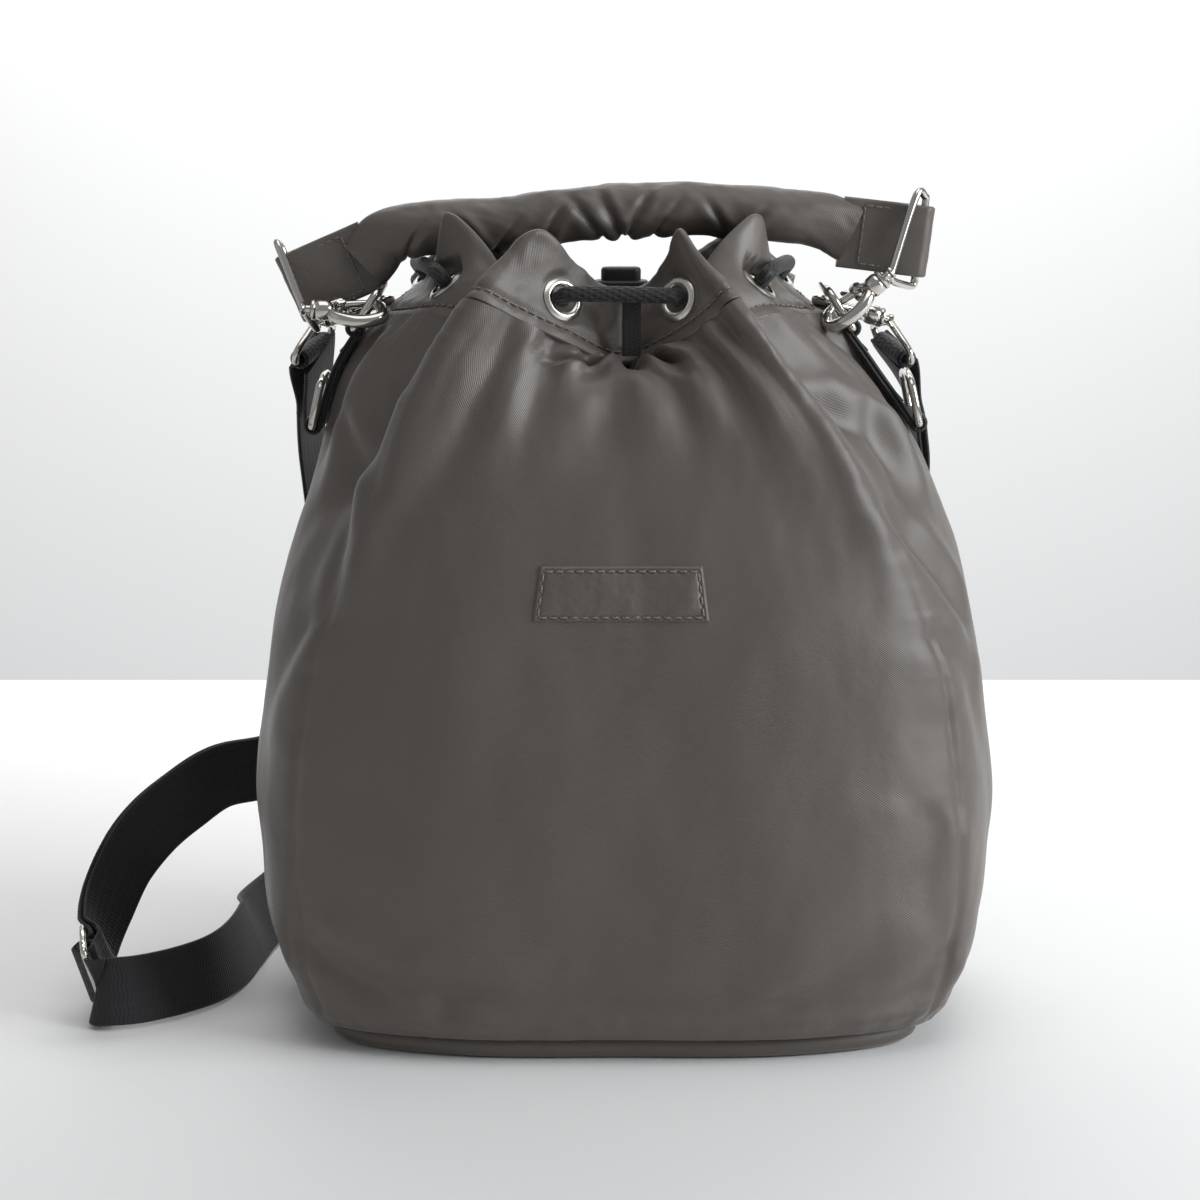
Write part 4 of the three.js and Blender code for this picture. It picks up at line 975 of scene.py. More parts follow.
def side_pieces(name, sign):
    """A side's webbing tab with its stitching and the two D-rings."""
    stand_off, loops, up = side_place(sign)
    heights = np.linspace(TAB_FOOT, TAB_TOP, 40)
    middle = np.array([stand_off(h, TAB_LIFT + WEBBING) * [1, 0, 1] for h in heights])
    along = unit(np.gradient(middle, axis=0))
    across = np.repeat([[0.0, 1.0, 0.0]], 40, 0)
    normal = np.cross(across, along) * sign
    shape = Shape()
    for lift in (-0.75, 0.75):
        ribbon(shape, middle + normal * lift, across, normal, WEBBING_WIDTH, WEBBING)
    for loop in loops:
        hoop(shape, loop, (0, 1, 0), RING_WIRE / 2 + GAP + WEBBING / 2, WEBBING_WIDTH, WEBBING)
    tab = shape.build(f"{name}_tab_webbing", [finishes()["webbing"]])
    place(tab, "bag", [f"{name}_side_tab"], "black_webbing")
    sewing = Shape()
    top = middle + normal * 1.55
    for k in (9, 30):
        row = top[k] + np.linspace(-11, 11, 30)[:, None] * np.array([0, 1, 0])
        stitched(sewing, row, np.repeat(normal[k:k + 1], 30, 0), 2.0, 0.6)
    place(sewing.build(f"{name}_tab_stitching", [finishes()["black_thread"]]), "bag", [], "black_webbing")
    rest = math.radians(RING_REST)
    low_up = np.array([-sign * math.sin(rest), 0, math.cos(rest)])
    rings = (("upper", loops[0], up, "bag"), ("lower", loops[1], low_up, f"{name}_lower_ring"))
    for level, loop, way, body in rings:
        ring = Shape()
        ring.tube(ring_line(loop, way), RING_WIRE / 2, 18, True)
        dee = ring.build(f"{name}_{level}_dee", [finishes()["nickel"]])
        place(dee, body, [f"{name}_{level}_ring"], "nickel")


def hook_frame(sign, leg, nose, gate):
    """The origin and axes of a snap hook: the swivel at the origin, the nose along the first axis."""
    _, loops, up = side_place(sign)
    grip = loops[0] + up * LEG_HEIGHT
    grip[1] = leg
    along = unit(nose)
    gate = np.asarray(gate, float)
    gate = unit(gate - along * gate.dot(along))
    axes = np.array([along, np.cross(gate, along), gate])
    return grip - along * GRIP, axes, grip


def hook_pieces(name, place_in, bar, way, body):
    """A swivel snap hook: its cast body, gate, pin and wire bail."""
    origin, axes, _ = place_in
    world = lambda p: origin + np.asarray(p, float) @ axes
    nickel = [finishes()["nickel"]]
    cast = Shape()
    spine = spline([(6.0, 0, 0.2), (7.6, 0, -1.6), (10, 0, -4.0), (15.5, 0, -5.7), (21, 0, -5.3),
                    (HOOK_REACH - 0.7, 0, -2.8), (HOOK_REACH, 0, 0.8), (24.3, 0, 4.4), (21.4, 0, 5.9)],
                   np.linspace(0, 1, 70))
    t = np.linspace(0, 1, 70)
    thick = 1.95 + 0.45 * np.sin(t * math.pi) - 0.6 * smooth(0.8, 1, t)
    cast.tube(world(spine), thick, 18)
    barrel = [(0, -0.2), (2.9, 0.0), (3.8, 0.5), (4.0, 1.2), (3.8, 1.7), (3.4, 2.1), (3.8, 2.6), (3.9, 3.4),
              (3.8, 5.6), (3.3, 6.9), (2.5, 8.2), (1.2, 8.9), (0, 9.1)]
    cast.turned(barrel, world((0, 0, 0)), axes[0], 40)
    for side in (-1, 1):
        arm = [(6.0, side * 1.7, 0.6), (8.4, side * 2.1, 1.9), PIVOT + [0, side * 2.1, 0]]
        cast.tube(world(spline(arm, np.linspace(0, 1, 14))), 1.0, 12)
        eye = world(PIVOT + [0, side * 2.1, 0])
        cast.turned([(0, -0.62), (2.0, -0.6), (2.35, -0.35), (2.4, 0), (2.35, 0.35), (2.0, 0.6), (0, 0.62)],
                    eye, axes[1], 28)
    thing = tidy_closed(cast.build(f"{name}_hook", nickel, 40))
    place(thing, f"{name}_hook", [f"{name}_hook_body"], "nickel")

    gate = Shape()
    run = spline([PIVOT, (14, 0, 4.5), (17.5, 0, 5.3), (20.6, 0, 5.95)], np.linspace(0, 1, 30))
    gate.tube(world(run), np.linspace(1.45, 1.1, 30), 14)
    eye = [(0, -1.3), (1.7, -1.25), (1.85, -0.9), (1.85, 0.9), (1.7, 1.25), (0, 1.3)]
    gate.turned(eye, world(PIVOT), axes[1], 28)
    lever = spline([(12.4, 0, 4.1), (13.4, 0, 5.6), (14.0, 0, 7.2), (14.9, 0, 8.5)], np.linspace(0, 1, 20))
    gate.tube(world(lever), np.linspace(1.15, 1.0, 20), 14)
    thing = tidy_closed(gate.build(f"{name}_gate_lever", nickel, 40))
    place(thing, f"{name}_gate", [f"{name}_hook_gate"], "nickel")

    pin = Shape()
    shank = [(0, -3.05), (1.0, -3.0), (1.3, -2.75), (0.75, -2.65),
             (0.75, 2.65), (1.3, 2.75), (1.0, 3.0), (0, 3.05)]
    pin.turned(shank, world(PIVOT), axes[1], 20)
    thing = tidy_closed(pin.build(f"{name}_rivet", nickel, 40))
    place(thing, f"{name}_hook", [f"{name}_hook_pin"], "nickel")

    across = unit(way)
    middle = (np.asarray(bar, float) - origin) @ axes.T - NECK
    side = across @ axes.T
    away = unit(middle - side * middle.dot(side))
    ends = [(np.asarray(bar) + across * s * BAIL_WIDTH / 2 - origin) @ axes.T - NECK for s in (-1, 1)]
    low, high = (e.dot(side) for e in ends)
    reach = ends[0].dot(away)
    flat = [(0, 0.6), (2.6, 1.6), (high + 0.4, reach * 0.6), (high + 0.7, reach - 1), (high - 1.6, reach),
            (high / 2, reach), (low / 2, reach), (low + 1.6, reach), (low - 0.7, reach - 1),
            (low - 0.4, reach * 0.6), (-2.6, 1.6)]
    line = spline(flat, np.arange(180) / 180, True)
    bail = Shape()
    bail.tube(world(line[:, :1] * side + line[:, 1:] * away + NECK), BAIL_WIRE / 2, 16, True)
    bail.turned([(0, -3.9), (2.2, -3.7), (2.5, -3.1), (2.2, -2.2), (1.5, -1.6), (1.5, 3.9), (0, 4.0)],
                world((0, 0, 0)), axes[0], 24)
    thing = tidy_closed(bail.build(f"{name}_bail", nickel, 40))
    place(thing, body, [f"{name}_hook_bail"], "nickel")


# ---------------------------------------------------------------- the handle
HANDLE_Y = -3
HANDLE = 19
TAB_LENGTH = 20
HANDLE_ENDS = {
    "left": (np.array([-118, HANDLE_Y, 270.0]), np.array([0.4, 0, -0.92])),
    "right": (np.array([106.5, HANDLE_Y, 286.3]), np.array([-0.12, 0, -1.0])),
}
HANDLE_TOP = [(x, HANDLE_Y, z) for x, z in (
    (-84, 288.6), (-62, 291.6), (-41, 292.6), (-20, 295.6), (6, 297.8), (34, 297.4), (58, 295.3), (72, 293.3),
)]

# Each crease of the handle: its share of the length, slant, depth and how far up the tube it reaches.
HANDLE_CREASES = [
    (0.14, 7, 0.8, 0.6), (0.23, -8, 0.9, 0.9), (0.33, 9, 0.9, 0.5), (0.41, 7, 1.2, 0.9),
    (0.465, -6, 1.1, 1.1), (0.515, -4, 1.3, 1.2), (0.575, 5, 1.2, 1.1), (0.64, 7, 0.9, 0.8),
    (0.72, -7, 1.0, 0.8), (0.81, 7, 0.8, 0.6),
]


def handle_end(name, towards):
    """The axes of a handle's end tab and the point where the padded tube begins."""
    bar, way = HANDLE_ENDS[name]
    across = unit(way)
    along = np.asarray(towards) - bar
    along = unit(along - across * along.dot(across))
    return bar, across, along, bar + along * (TAB_LENGTH + GAP)


def handle_pieces():
    """The padded handle and its two end tabs."""
    left = handle_end("left", HANDLE_TOP[0])
    right = handle_end("right", HANDLE_TOP[-1])
    start, stop = left[3] + [4.6, 0, 0], right[3] - [4.6, 0, 0]
    line = spline([start, *HANDLE_TOP, stop], np.linspace(0, 1, 420))
    reach = distances(line)
    tangent = unit(np.gradient(line, axis=0))
    depth = np.array([0.0, 1.0, 0.0])
    rise = unit(np.cross(tangent, depth)) * -1
    rise = rise * np.sign(rise[:, 2:])
    turn = np.arange(72) * 2 * math.pi / 72
    away = np.minimum(reach, reach[-1] - reach)
    full = smooth(0, 26, away)
    tall = HANDLE / 2 * (1.12 - 0.1 * full)
    thick = HANDLE / 2 * (0.5 + 0.46 * full)
    ring = (line[:, None] + rise[:, None] * (np.cos(turn)[None, :, None] * tall[:, None, None])
            + depth * (np.sin(turn)[None, :, None] * thick[:, None, None]))
    out = unit(ring - line[:, None])
    twist = np.stack(np.broadcast_arrays(reach[:, None] * 0.055 + np.cos(turn)[None] * 0.35,
                                         np.sin(turn)[None] * 0.9, np.cos(turn)[None] * 0.9), -1)
    relief = 0.55 * ripple(twist, 1.0, 3.3) + 0.2 * ripple(ring, 0.05, 7.1)
    face = np.cos(turn)[None]
    for where, slant, depth, reach_up in HANDLE_CREASES:
        off = reach[:, None] - where * reach[-1] - slant * face
        width = 1.7 + 0.8 * face
        side = smooth(reach_up, reach_up - 0.9, face)
        relief += depth * side * (-bump(off, width) + 0.7 * bump(off - 3.6, 2.6) + 0.4 * bump(off + 3.6, 2.8))
    seam = np.cos(turn - math.pi)[None]
    relief -= 1.2 * smooth(0.985, 0.999, seam)
    ring = ring + out * relief[..., None]
    shape = Shape()
    base = shape.grid(ring, lambda i, j: (i / 72 * 0.06, reach[j] * MM), True, flip=False)
    shape.cap([base + i for i in range(72)])
    shape.cap([base + (len(ring) - 1) * 72 + i for i in range(72)])
    sleeve = tidy_closed(shape.build("handle_padding", [finishes()["twill"]], 60))
    place(sleeve, "handle", ["handle_sleeve"], "twill")

    for name, (bar, across, along, _) in (("left", left), ("right", right)):
        up = np.cross(across, along)
        radius = BAIL_WIRE / 2 + 2 * GAP + 0.8
        angle = np.linspace(math.pi / 2, 3 * math.pi / 2, 25)[:, None]
        bend = bar + np.cos(angle) * along * radius + np.sin(angle) * up * radius
        run = np.linspace(TAB_LENGTH + 9, 2, 26)[:, None]
        pinch = smooth(20, 4, run)
        upper = bar + along * run + up * (1.0 + (radius - 1.0) * pinch)
        lower = bar + along * run[::-1] - up * (1.0 + (radius - 1.0) * pinch[::-1])
        path = np.vstack([upper, bend, lower])
        forward = unit(np.gradient(path, axis=0))
        normal = np.cross(np.repeat(across[None], len(path), 0), forward)
        strip = Shape()
        wave = lambda p: 0.3 * ripple(p, 0.09, 5.0)
        width = WEBBING_WIDTH + 0.5
        ribbon(strip, path, np.repeat(across[None], len(path), 0), normal, width, 1.7, cells=26, relief=wave)
        tab = strip.build(f"{name}_handle_loop", [loop_cloth()], 60)
        place(tab, "handle", [f"{name}_handle_tab"], "twill")
        sewing = Shape()
        for face in (1, -1):
            for d in (8.5, 21.5):
                row = bar + along * d + across * np.linspace(-10.5, 10.5, 24)[:, None] + up * face * 2.15
                stitched(sewing, row, np.repeat((up * face)[None], 24, 0), 2.2, 0.8)
            for s in (-10.5, 10.5):
                row = bar + along * np.linspace(8.5, 21.5, 14)[:, None] + across * s + up * face * 2.15
                stitched(sewing, row, np.repeat((up * face)[None], 14, 0), 2.2, 0.8)
        place(sewing.build(f"{name}_handle_stitching", [finishes()["thread"]]), "handle", [], "twill")


def loop_cloth():
    """The twill of the handle's loops, whose width coordinate runs from 0 to 1."""
    if "loop" not in FINISH:
        FINISH["loop"] = twill("brown-grey twill loops", colour(88, 80, 73), 175.0, 7000.0)
    return FINISH["loop"]


# ---------------------------------------------------------------- the shoulder strap
RIGHT_STRAP_WAY = unit((-0.3, 0.92, 0.19))
LEFT_STRAP_WAY = unit((0.3, 0.92, 0.19))
STRAP_ROUTE = [
    ((114, 32, 214), (112, 55, 222)),
    ((117, 46, 190), (106, 67, 197)),
    ((110, 66, 158), (94, 83, 168)),
    ((88, 90, 128), (78, 92, 151)),
    ((48, 98, 104), (41, 97, 128)),
    ((3, 99, 87), (-1, 98, 112)),
    ((-42, 98, 76), (-45, 97, 101)),
    ((-85, 93, 69), (-88, 92, 94)),
    ((-117, 80, 65), (-119, 79, 90)),
    ((-142, 60, 62), (-143, 62, 87)),
    ((-157, 46, 62), (-161, 48, 86)),
    ((-169.5, 33, 55), (-174.5, 39, 79)),
    ((-180.5, 23.5, 47), (-185.5, 28.5, 71)),
    ((-189.5, 15, 36), (-194.5, 17, 60)),
    ((-195, 4, 22), (-201, 6, 46)),
    ((-197, -7.5, 13), (-203, -2.5, 37)),
    ((-195.5, -18, 9), (-202.5, -10, 31.5)),
    ((-193.4, -27.5, 6), (-200.6, -18.5, 29)),
    ((-192.4, -34, 4.3), (-199.6, -25, 27.3)),
    ((-191.4, -40.5, 2.6), (-198.6, -31.5, 25.6)),
    ((-183, -39, 2.9), (-185, -31, 25)),
    ((-174, -34, 2.9), (-176, -24, 24)),
    ((-163, -24, 2.9), (-166, -13, 23)),
    ((-153, -9, 2.9), (-157, 1, 22)),
    ((-147, 11, 2.9), (-152, 20, 21)),
    ((-143, 38, 2.9), (-150, 46, 21)),
    ((-137, 68, 2.9), (-154, 75, 19)),
    ((-127, 98, 6), (-139, 108, 26)),
    ((-118, 112, 34), (-103, 128, 45)),
    ((-117, 106, 74), (-98, 122, 78)),
    ((-120, 86, 120), (-103, 105, 122)),
    ((-123, 62, 168), (-109, 83, 171)),
    ((-124, 46, 202), (-117, 70, 206)),
]
SLIDER_STATION = 17
SLIDER_WIRE = 2.5
SLIDER_LENGTH = 33
SLIDER_REACH = 9
EASE = 20


def strap_hook_place(sign, nose):
    """A strap hook's frame and the middle of its bail's bar."""
    made = hook_frame(sign, RING_HALF, nose, (sign * 0.1, -0.87, 0.05))
    drop = unit((sign * 0.35, 0.42, -0.85))
    return made, made[2] - unit(nose) * GRIP + drop * 15


def lean_at(stops, distance):
    """The strap's lean at a distance along its route, eased between stops."""
    places = np.array([s[0] for s in stops])
    leans = np.array([s[1] for s in stops])
    k = np.clip(np.searchsorted(places, distance) - 1, 0, len(stops) - 2)
    t = np.clip((distance - places[k]) / (places[k + 1] - places[k]), 0, 1)
    t = t * t * (3 - 2 * t)
    return leans[k] + (leans[k + 1] - leans[k]) * t


def strap_pieces():
    """The strap, its slider and its two hooks."""
    right_place, right_bar = strap_hook_place(1, (-0.93, -0.25, 0.27))
    left_place, left_bar = strap_hook_place(-1, (0.93, -0.25, 0.27))
    hook_pieces("right_strap", right_place, right_bar, RIGHT_STRAP_WAY, "bag")
    hook_pieces("left_strap", left_place, left_bar, LEFT_STRAP_WAY, "bag")

    route = np.array(STRAP_ROUTE, float)
    middles = np.vstack([[right_bar], route.mean(1), [left_bar]])
    sideways = np.vstack([[RIGHT_STRAP_WAY], unit(route[:, 1] - route[:, 0]), [LEFT_STRAP_WAY]])
    fine = 30
    t = np.linspace(0, 1, fine * (len(middles) - 1) + 1)
    middle = spline(middles, t)
    along = unit(np.gradient(middle, axis=0))
    across = spline(sideways, t)
    across = unit(across - along * (across * along).sum(1, keepdims=True))
    normal = np.cross(along, across)
    reach = distances(middle)
    total = reach[-1]
    slider_index = fine * (SLIDER_STATION + 1)
    slider_at = reach[slider_index]
    over_bar = SLIDER_WIRE / 2 + 2 * GAP + WEBBING / 2
    over_wrap = SLIDER_WIRE / 2 + 3 * GAP + 1.5 * WEBBING
    layer_gap = WEBBING + 3 * GAP
    bar_face = BAIL_WIRE / 2 + 2.5 * GAP + WEBBING / 2
    outer = [(0, bar_face), (EASE, 0), (slider_at - EASE, 0), (slider_at - SLIDER_REACH, -over_bar),
             (slider_at, over_wrap), (slider_at + SLIDER_REACH, -over_bar), (slider_at + EASE, 0),
             (total - EASE, 0), (total, bar_face)]
    inner = [(0, -bar_face), (EASE, -layer_gap), (slider_at - EASE, -layer_gap),
             (slider_at - SLIDER_REACH, -over_bar - layer_gap - GAP), (slider_at, -over_bar)]
    sewn = [(total - EASE, -layer_gap), (total, -bar_face)]
    shape = Shape()
    settle = lambda p: 0 * p[..., 0]
    for first, last, stops in ((0, len(t), outer), (0, slider_index + 1, inner)):
        part = slice(first, last)
        line = middle[part] + normal[part] * lean_at(stops, reach[part])[:, None]
        ribbon(shape, line, across[part], normal[part], WEBBING_WIDTH, WEBBING, relief=settle)
    tail = reach > total - 28
    line = middle[tail] + normal[tail] * lean_at(sewn, reach[tail])[:, None]
    ribbon(shape, line, across[tail], normal[tail], WEBBING_WIDTH, WEBBING)
    hoop(shape, right_bar, RIGHT_STRAP_WAY, BAIL_WIRE / 2 + 2 * GAP + WEBBING / 2, WEBBING_WIDTH, WEBBING)
    hoop(shape, left_bar, LEFT_STRAP_WAY, BAIL_WIRE / 2 + 2 * GAP + WEBBING / 2, WEBBING_WIDTH, WEBBING)
    hoop(shape, middle[slider_index], across[slider_index], SLIDER_WIRE / 2 + 2 * GAP + WEBBING / 2,
         WEBBING_WIDTH, WEBBING)
    strap = shape.build("strap_webbing", [finishes()["webbing"]], 60)
    place(strap, "bag", ["shoulder_strap"], "black_webbing")

    sewing = Shape()
    for near in (np.abs(reach - (total - 24)).argmin(), np.abs(reach - (total - 12)).argmin()):
        row = middle[near] + across[near] * np.linspace(-11, 11, 24)[:, None] + normal[near] * 1.2
        stitched(sewing, row, np.repeat(normal[near][None], 24, 0), 2.0, 0.6)
    place(sewing.build("strap_stitching", [finishes()["black_thread"]]), "bag", [], "black_webbing")

    half = SLIDER_LENGTH / 2 - SLIDER_WIRE / 2
    flat = [(half, 0), (half, 5), (half - 2, SLIDER_REACH), (0, SLIDER_REACH), (2 - half, SLIDER_REACH),
            (-half, 5), (-half, -5), (2 - half, -SLIDER_REACH), (0, -SLIDER_REACH), (half - 2, -SLIDER_REACH),
            (half, -5)]
    line = spline(flat, np.arange(160) / 160, True)
    a, b, c = across[slider_index], along[slider_index], middle[slider_index]
    wire = Shape()
    wire.tube(c + line[:, :1] * a + line[:, 1:] * b, SLIDER_WIRE / 2, 16, True)
    wire.tube(c + np.linspace(-half, half, 20)[:, None] * a, SLIDER_WIRE / 2, 16, ends=False)
    place(wire.build("strap_buckle", [finishes()["nickel"]], 40), "bag", ["strap_slider"], "nickel")


# ---------------------------------------------------------------- drawcord, lock and tails
CORD = 5.6
CORD_PASS = 7.5
LOCK = np.array([-1.0, 53.0, 261.0])
LOCK_DEPTH = 12
CORD_SPACING = 7.2
TAIL_DROP = [
    (0, 0.9, 0), (0.4, 5, 0), (1.2, 11, -3), (2.2, 15, -10), (3.4, 17, -22), (5, 18.5, -36), (7, 20, -50),
]


def lock_entry(side):
    """The stations of the cord at the lock, from its rear face forwards."""
    x = side * CORD_SPACING / 2
    return [LOCK + [x, LOCK_DEPTH / 2 + 0.5, 0], LOCK + [x, 0, 0], LOCK + [x, -LOCK_DEPTH / 2 - 3.5, 0],
            LOCK + [x + side * 2, -LOCK_DEPTH / 2 - 9, 1]]


def cord_pieces():
    """The drawcord through the eyelets, its two tails with their knots and the short tape at the front."""
    middles, ways = eyelet_places()
    stations = lock_entry(1)
    for turn, index in enumerate((3, 2, 1, 0, 7, 6, 5, 4)):
        way = 1 if turn % 2 == 0 else -1
        stations += [middles[index] + ways[index] * lift * way for lift in (CORD_PASS, 0, -CORD_PASS)]
    stations += lock_entry(-1)[::-1]
    line = spline(stations, np.linspace(0, 1, 700))
    shape = Shape()
    shape.tube(line, CORD / 2, 16)
    place(shape.build("drawcord_braid", [finishes()["braid"]], 60), "bag", ["drawcord"], "black_webbing")

    for name, side in (("right", 1), ("left", -1)):
        start = lock_entry(side)[0]
        points = [start + [side * x, y, z] for x, y, z in TAIL_DROP]
        line = spline(points, np.linspace(0, 1, 90))
        tail = Shape()
        tail.tube(line, CORD / 2, 16, ends=False)
        length = float(np.linalg.norm(np.diff(line, axis=0), axis=1).sum()) * MM
        cord = tail.build(f"{name}_cord_end", [finishes()["braid"]], 60)
        place(cord, "bag", [f"{name}_cord_tail"], "black_webbing")
        end = np.asarray(points[-1])
        way = unit(end - points[-2])
        knot = knot_piece(f"{name}_knot", end + way * 6.0, way)
        place(knot, "bag", [f"{name}_cord_knot"], "black_webbing")
        tuple(line[0] * MM)
        [tuple(p * MM) for p in line]

    rise = np.linspace(0, 1, 16)
    middle = np.stack([0 * rise + 2, -43.6 + 2.6 * rise - 0.8 * np.sin(rise * 3), 249 + 23.5 * rise], 1)
    tape = Shape()
    across = np.repeat([[1.0, 0.0, 0.0]], 16, 0)
    ribbon(tape, middle, across, np.cross(across, unit(np.gradient(middle, axis=0))), 6.5, 0.9, cells=8)
    place(tape.build("front_tape", [finishes()["tape"]]), "bag", ["cord_tape"], "black_webbing")


def knot_piece(name, middle, way):
    """An overhand knot drawn tight at the end of a tail, with a short cut end."""
    a = unit(np.cross(way, (0.2, 1.0, 0.3)))
    b = np.cross(way, a)
    turn = np.linspace(0, 2 * math.pi * 1.75, 70)
    line = (middle + way * (3.4 * np.sin(turn * 0.5 + 0.6))[:, None]
            + a * (3.0 * np.cos(turn))[:, None] + b * (3.0 * np.sin(turn))[:, None])
    shape = Shape()
    shape.tube(line, CORD / 2 * 0.94, 14)
    shape.tube(middle + way * np.linspace(-6.0, 7.5, 20)[:, None], CORD / 2 * 0.94, 14)
    return shape.build(name, [finishes()["braid"]], 60)


def block_piece(name, width, depth, foot, top, corner, edge, at_point):
    """A moulded block with rounded corners and softened edges."""
    turn = np.arange(64) * 2 * math.pi / 64
    x, y = np.cos(turn), np.sin(turn)
    def outline(inset):
        w, d = width / 2 - corner, depth / 2 - corner
        r = corner - inset
        return np.stack([np.sign(np.round(x, 9)) * w + x * r, np.sign(np.round(y, 9)) * d + y * r, 0 * x], 1)
    rows = []
    for angle in np.linspace(0, math.pi / 2, 5):
        rows.append(outline(edge * (1 - math.sin(angle))) + [0, 0, foot + edge * (1 - math.cos(angle))])
    rows += [outline(0) + [0, 0, h] for h in np.linspace(foot + edge, top - edge, 8)[1:-1]]
    for angle in np.linspace(math.pi / 2, 0, 5):
        rows.append(outline(edge * (1 - math.sin(angle))) + [0, 0, top - edge * (1 - math.cos(angle))])
    shape = Shape()
    rows = np.array(rows) + at_point
    base = shape.grid(rows, lambda i, j: (i / 64, j / 20), True)
    shape.cap([base + i for i in reversed(range(64))])
    shape.cap([base + (len(rows) - 1) * 64 + i for i in range(64)])
    return tidy_closed(shape.build(name, [finishes()["plastic"]], 35))


def lock_pieces():
    """The cord lock: its barrel, its thumb button and the spring under it."""
    body = block_piece("lock_barrel", 21, 12, -12.5, 7, 4, 1.2, LOCK)
    place(body, "cord_lock", ["cord_lock_body"], "black_plastic")
    button = block_piece("lock_thumb_button", 15.2, 7.2, 0, 12, 3, 1.4, LOCK)
    place(button, "lock_button", ["cord_lock_button"], "black_plastic")
    t = np.linspace(0, 1, 80)
    coil = Shape()
    angle = t * 4 * math.pi
    coil.tube(LOCK + np.stack([2.2 * np.cos(angle), 2.2 * np.sin(angle), -9.95 + 2.1 * t], 1), 0.35, 8)
    spring = coil.build("lock_coil", [finishes()["nickel"]])
    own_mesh(spring)
    place(spring, "cord_lock", ["cord_lock_spring"], "nickel")


# ---------------------------------------------------------------- stage, light and camera
TABLE_BACK = 550
TABLE_FRONT = -2600
TABLE_HALF_WIDTH = 4000
TABLE_EDGE = -60
WALL_PLACE = 2500
WALL_FOOT = -1500
WALL_TOP = 3000
WALL_HALF_WIDTH = 5000
LIGHT_WORLD = 0.33
# Each light: its name, place, what it points at, size, power and tint.
LIGHTS = (
    ("window light", (1.5, -0.55, 0.75), (0.0, 0.0, 0.14), 0.9, 27, (0.93, 0.97, 1.0)),
    ("ceiling light", (0.2, -0.3, 2.2), (0.0, 0.2, 0.0), 1.6, 12, (1.0, 0.995, 0.98)),
    ("backdrop light", (0.0, 1.2, 1.6), (0.0, 2.5, 0.2), 1.6, 46, (1.0, 1.0, 1.0)),
    ("room light", (-1.7, -1.0, 0.9), (0.0, 0.0, 0.12), 1.2, 0.8, (1.0, 0.98, 0.96)),
)


def flat_face(shape, half_width, first, last):
    """Adds one flat face across the stage between two (y, z) edges."""
    rows = [[(-half_width, y, z), (half_width, y, z)] for y, z in (first, last)]
    shape.grid(np.array(rows, float), lambda i, j: (i, j))


def stage_pieces():
    """A pale table, a pale wall well behind it, soft light and the camera."""
    pale = plain_matt("pale table", colour(229, 228, 227), 0.6)
    top = Shape()
    flat_face(top, TABLE_HALF_WIDTH, (TABLE_FRONT, 0), (TABLE_BACK, 0))
    flat_face(top, TABLE_HALF_WIDTH, (TABLE_BACK, 0), (TABLE_BACK, TABLE_EDGE))
    table = top.build("table", [pale], 80)
    back = Shape()
    flat_face(back, WALL_HALF_WIDTH, (WALL_PLACE, WALL_FOOT), (WALL_PLACE, WALL_TOP))
    wall = back.build("far_wall", [plain_matt("pale wall", colour(240, 239, 238), 0.9)], 80)
    for name, place_at, target, size, power, tint in LIGHTS:
        lamp = bpy.data.lights.new(name, "AREA")
        lamp.energy = power
        lamp.size = size
        lamp.color = tint
        thing = bpy.data.objects.new(name, lamp)
        thing.location = place_at
        thing.rotation_euler = (Vector(target) - Vector(place_at)).to_track_quat("-Z", "Y").to_euler()
        bpy.context.scene.collection.objects.link(thing)
    world = bpy.data.worlds.new("room")
    world.use_nodes = True
    world.node_tree.nodes["Background"].inputs[0].default_value = (0.93, 0.96, 1.0, 1.0)
    world.node_tree.nodes["Background"].inputs[1].default_value = LIGHT_WORLD
    bpy.context.scene.world = world
    bpy.context.scene.view_settings.view_transform = "Standard"

    lens = bpy.data.cameras.new("camera")
    lens.lens = 84
    lens.sensor_width = 36
    lens.clip_start = 0.05
    camera = bpy.data.objects.new("camera", lens)
    camera.location = (-0.009, -1.020, 0.352)
    camera.rotation_euler = (math.radians(79), 0, 0)
    bpy.context.scene.collection.objects.link(camera)
    bpy.context.scene.camera = camera


# ---------------------------------------------------------------- operators
class BagSettings(bpy.types.PropertyGroup):
    """Colours, stitches and light that a user may change."""

    cloth_colour: bpy.props.FloatVectorProperty(
        name="Cloth", description="Colour of the padded twill", subtype="COLOR", size=4, min=0.0, max=1.0,
        default=colour(90, 81, 74)
    )
    webbing_colour: bpy.props.FloatVectorProperty(
        name="Webbing", description="Colour of the strap and the side tabs", subtype="COLOR", size=4, min=0.0,
        max=1.0, default=colour(28, 27, 30)
    )
    metal_colour: bpy.props.FloatVectorProperty(
        name="Metal", description="Colour of the rings, hooks and slider", subtype="COLOR", size=4, min=0.0,
        max=1.0, default=colour(206, 202, 196)
    )
    with_stitches: bpy.props.BoolProperty(
        name="Collar stitches", description="Add the row of stitches above the collar seam", default=True
    )
    light_level: bpy.props.FloatProperty(
        name="Light", description="Level of the studio light", default=1.0, min=0.1, max=4.0, subtype="FACTOR"
    )


class BAG_OT_body(bpy.types.Operator):
    """Builds the padded body, the lining and the front patch."""

    bl_idname = "bag.body"
    bl_label = "Body, lining and patch"

    def execute(self, context):
        body_piece()
        lining_piece()
        label_piece()
        return {"FINISHED"}


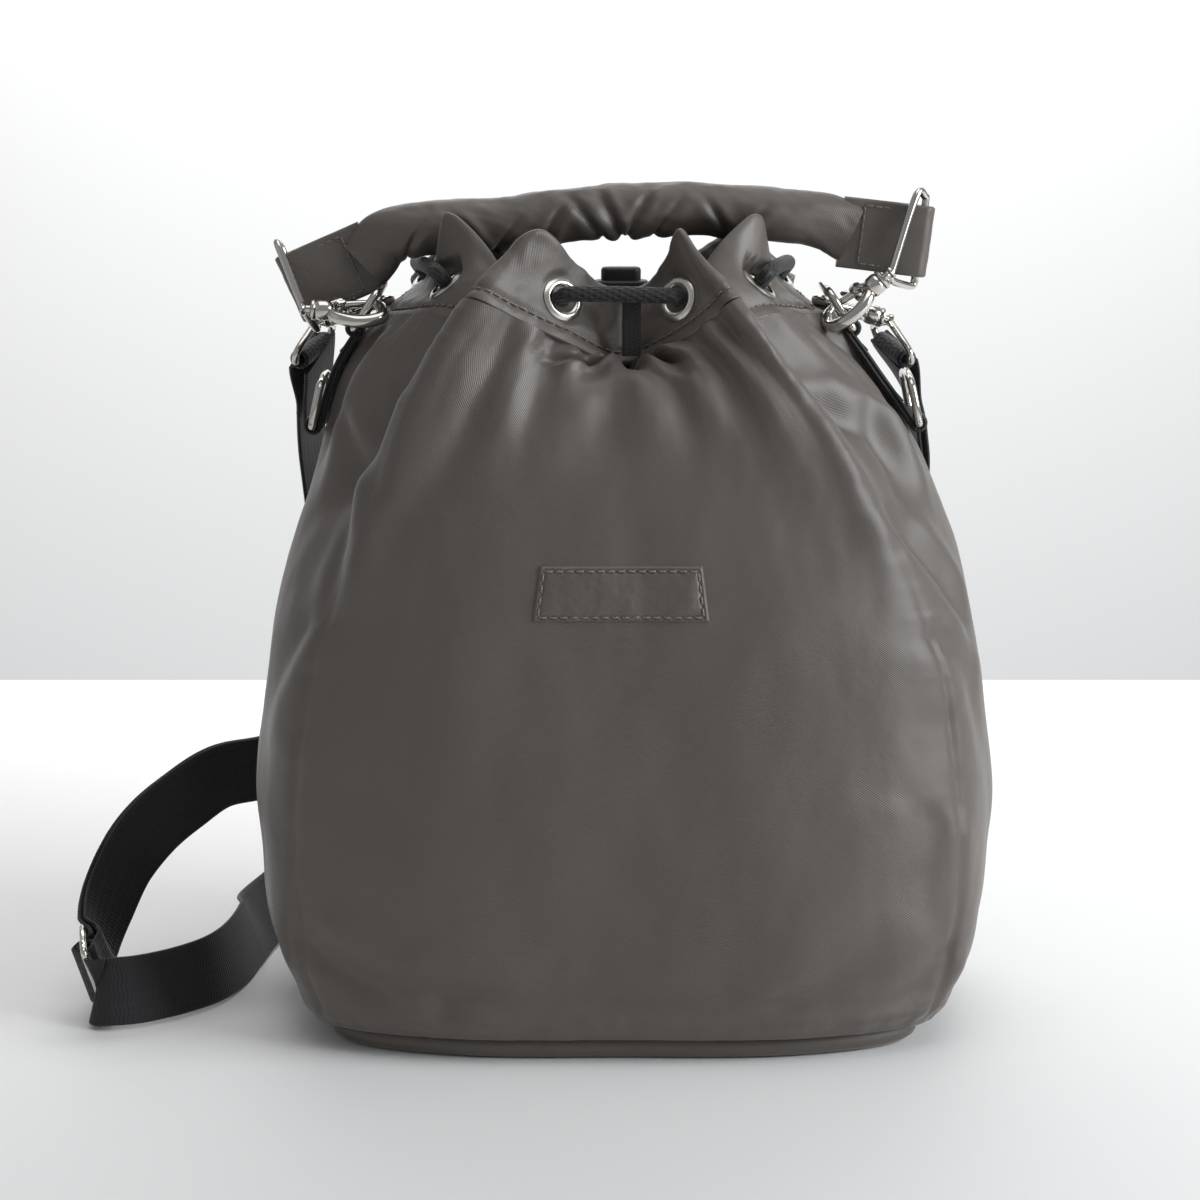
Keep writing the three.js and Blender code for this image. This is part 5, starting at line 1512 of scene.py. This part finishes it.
class BAG_OT_collar(bpy.types.Operator):
    """Builds the gathered collar, its stitching and the eyelets."""

    bl_idname = "bag.collar"
    bl_label = "Collar and eyelets"

    def execute(self, context):
        collar_piece()
        if context.scene.bag_settings.with_stitches:
            seam_stitches()
        eyelet_pieces()
        return {"FINISHED"}


class BAG_OT_sides(bpy.types.Operator):
    """Builds the side tabs and the D-rings."""

    bl_idname = "bag.sides"
    bl_label = "Side tabs and D-rings"

    def execute(self, context):
        side_pieces("left", -1)
        side_pieces("right", 1)
        return {"FINISHED"}


class BAG_OT_handle(bpy.types.Operator):
    """Builds the padded handle and its two snap hooks."""

    bl_idname = "bag.handle"
    bl_label = "Handle"

    def execute(self, context):
        handle_pieces()
        left = hook_frame(-1, -RING_HALF, (1, 0, -0.06), (0, 0.87, 0.5))
        right = hook_frame(1, -RING_HALF, (-0.77, 0, -0.64), (-0.3, 0.87, 0.4))
        hook_pieces("left_handle", left, *HANDLE_ENDS["left"], "handle")
        hook_pieces("right_handle", right, *HANDLE_ENDS["right"], "handle")
        return {"FINISHED"}


class BAG_OT_strap(bpy.types.Operator):
    """Builds the shoulder strap, its slider and its two snap hooks."""

    bl_idname = "bag.strap"
    bl_label = "Shoulder strap"

    def execute(self, context):
        strap_pieces()
        return {"FINISHED"}


class BAG_OT_cord(bpy.types.Operator):
    """Builds the drawcord, its tails, the tape and the cord lock."""

    bl_idname = "bag.cord"
    bl_label = "Drawcord and lock"

    def execute(self, context):
        cord_pieces()
        lock_pieces()
        return {"FINISHED"}


class BAG_OT_stage(bpy.types.Operator):
    """Sets up the table, wall, light and camera."""

    bl_idname = "bag.stage"
    bl_label = "Stage"

    def execute(self, context):
        stage_pieces()
        for lamp in bpy.data.lights:
            lamp.energy *= context.scene.bag_settings.light_level
        return {"FINISHED"}


class BAG_PT_panel(bpy.types.Panel):
    """Lists the build steps."""

    bl_label = "Drawstring bag"
    bl_idname = "BAG_PT_panel"
    bl_space_type = "VIEW_3D"
    bl_region_type = "UI"
    bl_category = "Bag"

    def draw(self, context):
        settings = context.scene.bag_settings
        for setting in ("cloth_colour", "webbing_colour", "metal_colour", "with_stitches", "light_level"):
            self.layout.prop(settings, setting)
        for step in STEPS:
            self.layout.operator(step.bl_idname)


STEPS = (BAG_OT_body, BAG_OT_collar, BAG_OT_sides, BAG_OT_handle, BAG_OT_strap, BAG_OT_cord, BAG_OT_stage)


def register():
    bpy.utils.register_class(BagSettings)
    for step in STEPS:
        bpy.utils.register_class(step)
    bpy.utils.register_class(BAG_PT_panel)
    bpy.types.Scene.bag_settings = bpy.props.PointerProperty(type=BagSettings)


def unregister():
    del bpy.types.Scene.bag_settings
    bpy.utils.unregister_class(BAG_PT_panel)
    for step in reversed(STEPS):
        bpy.utils.unregister_class(step)
    bpy.utils.unregister_class(BagSettings)


def main():
    register()
    bpy.ops.bag.body()
    bpy.ops.bag.collar()
    bpy.ops.bag.sides()
    bpy.ops.bag.handle()
    bpy.ops.bag.strap()
    bpy.ops.bag.cord()
    bpy.ops.bag.stage()


if __name__ == "__main__":
    main()
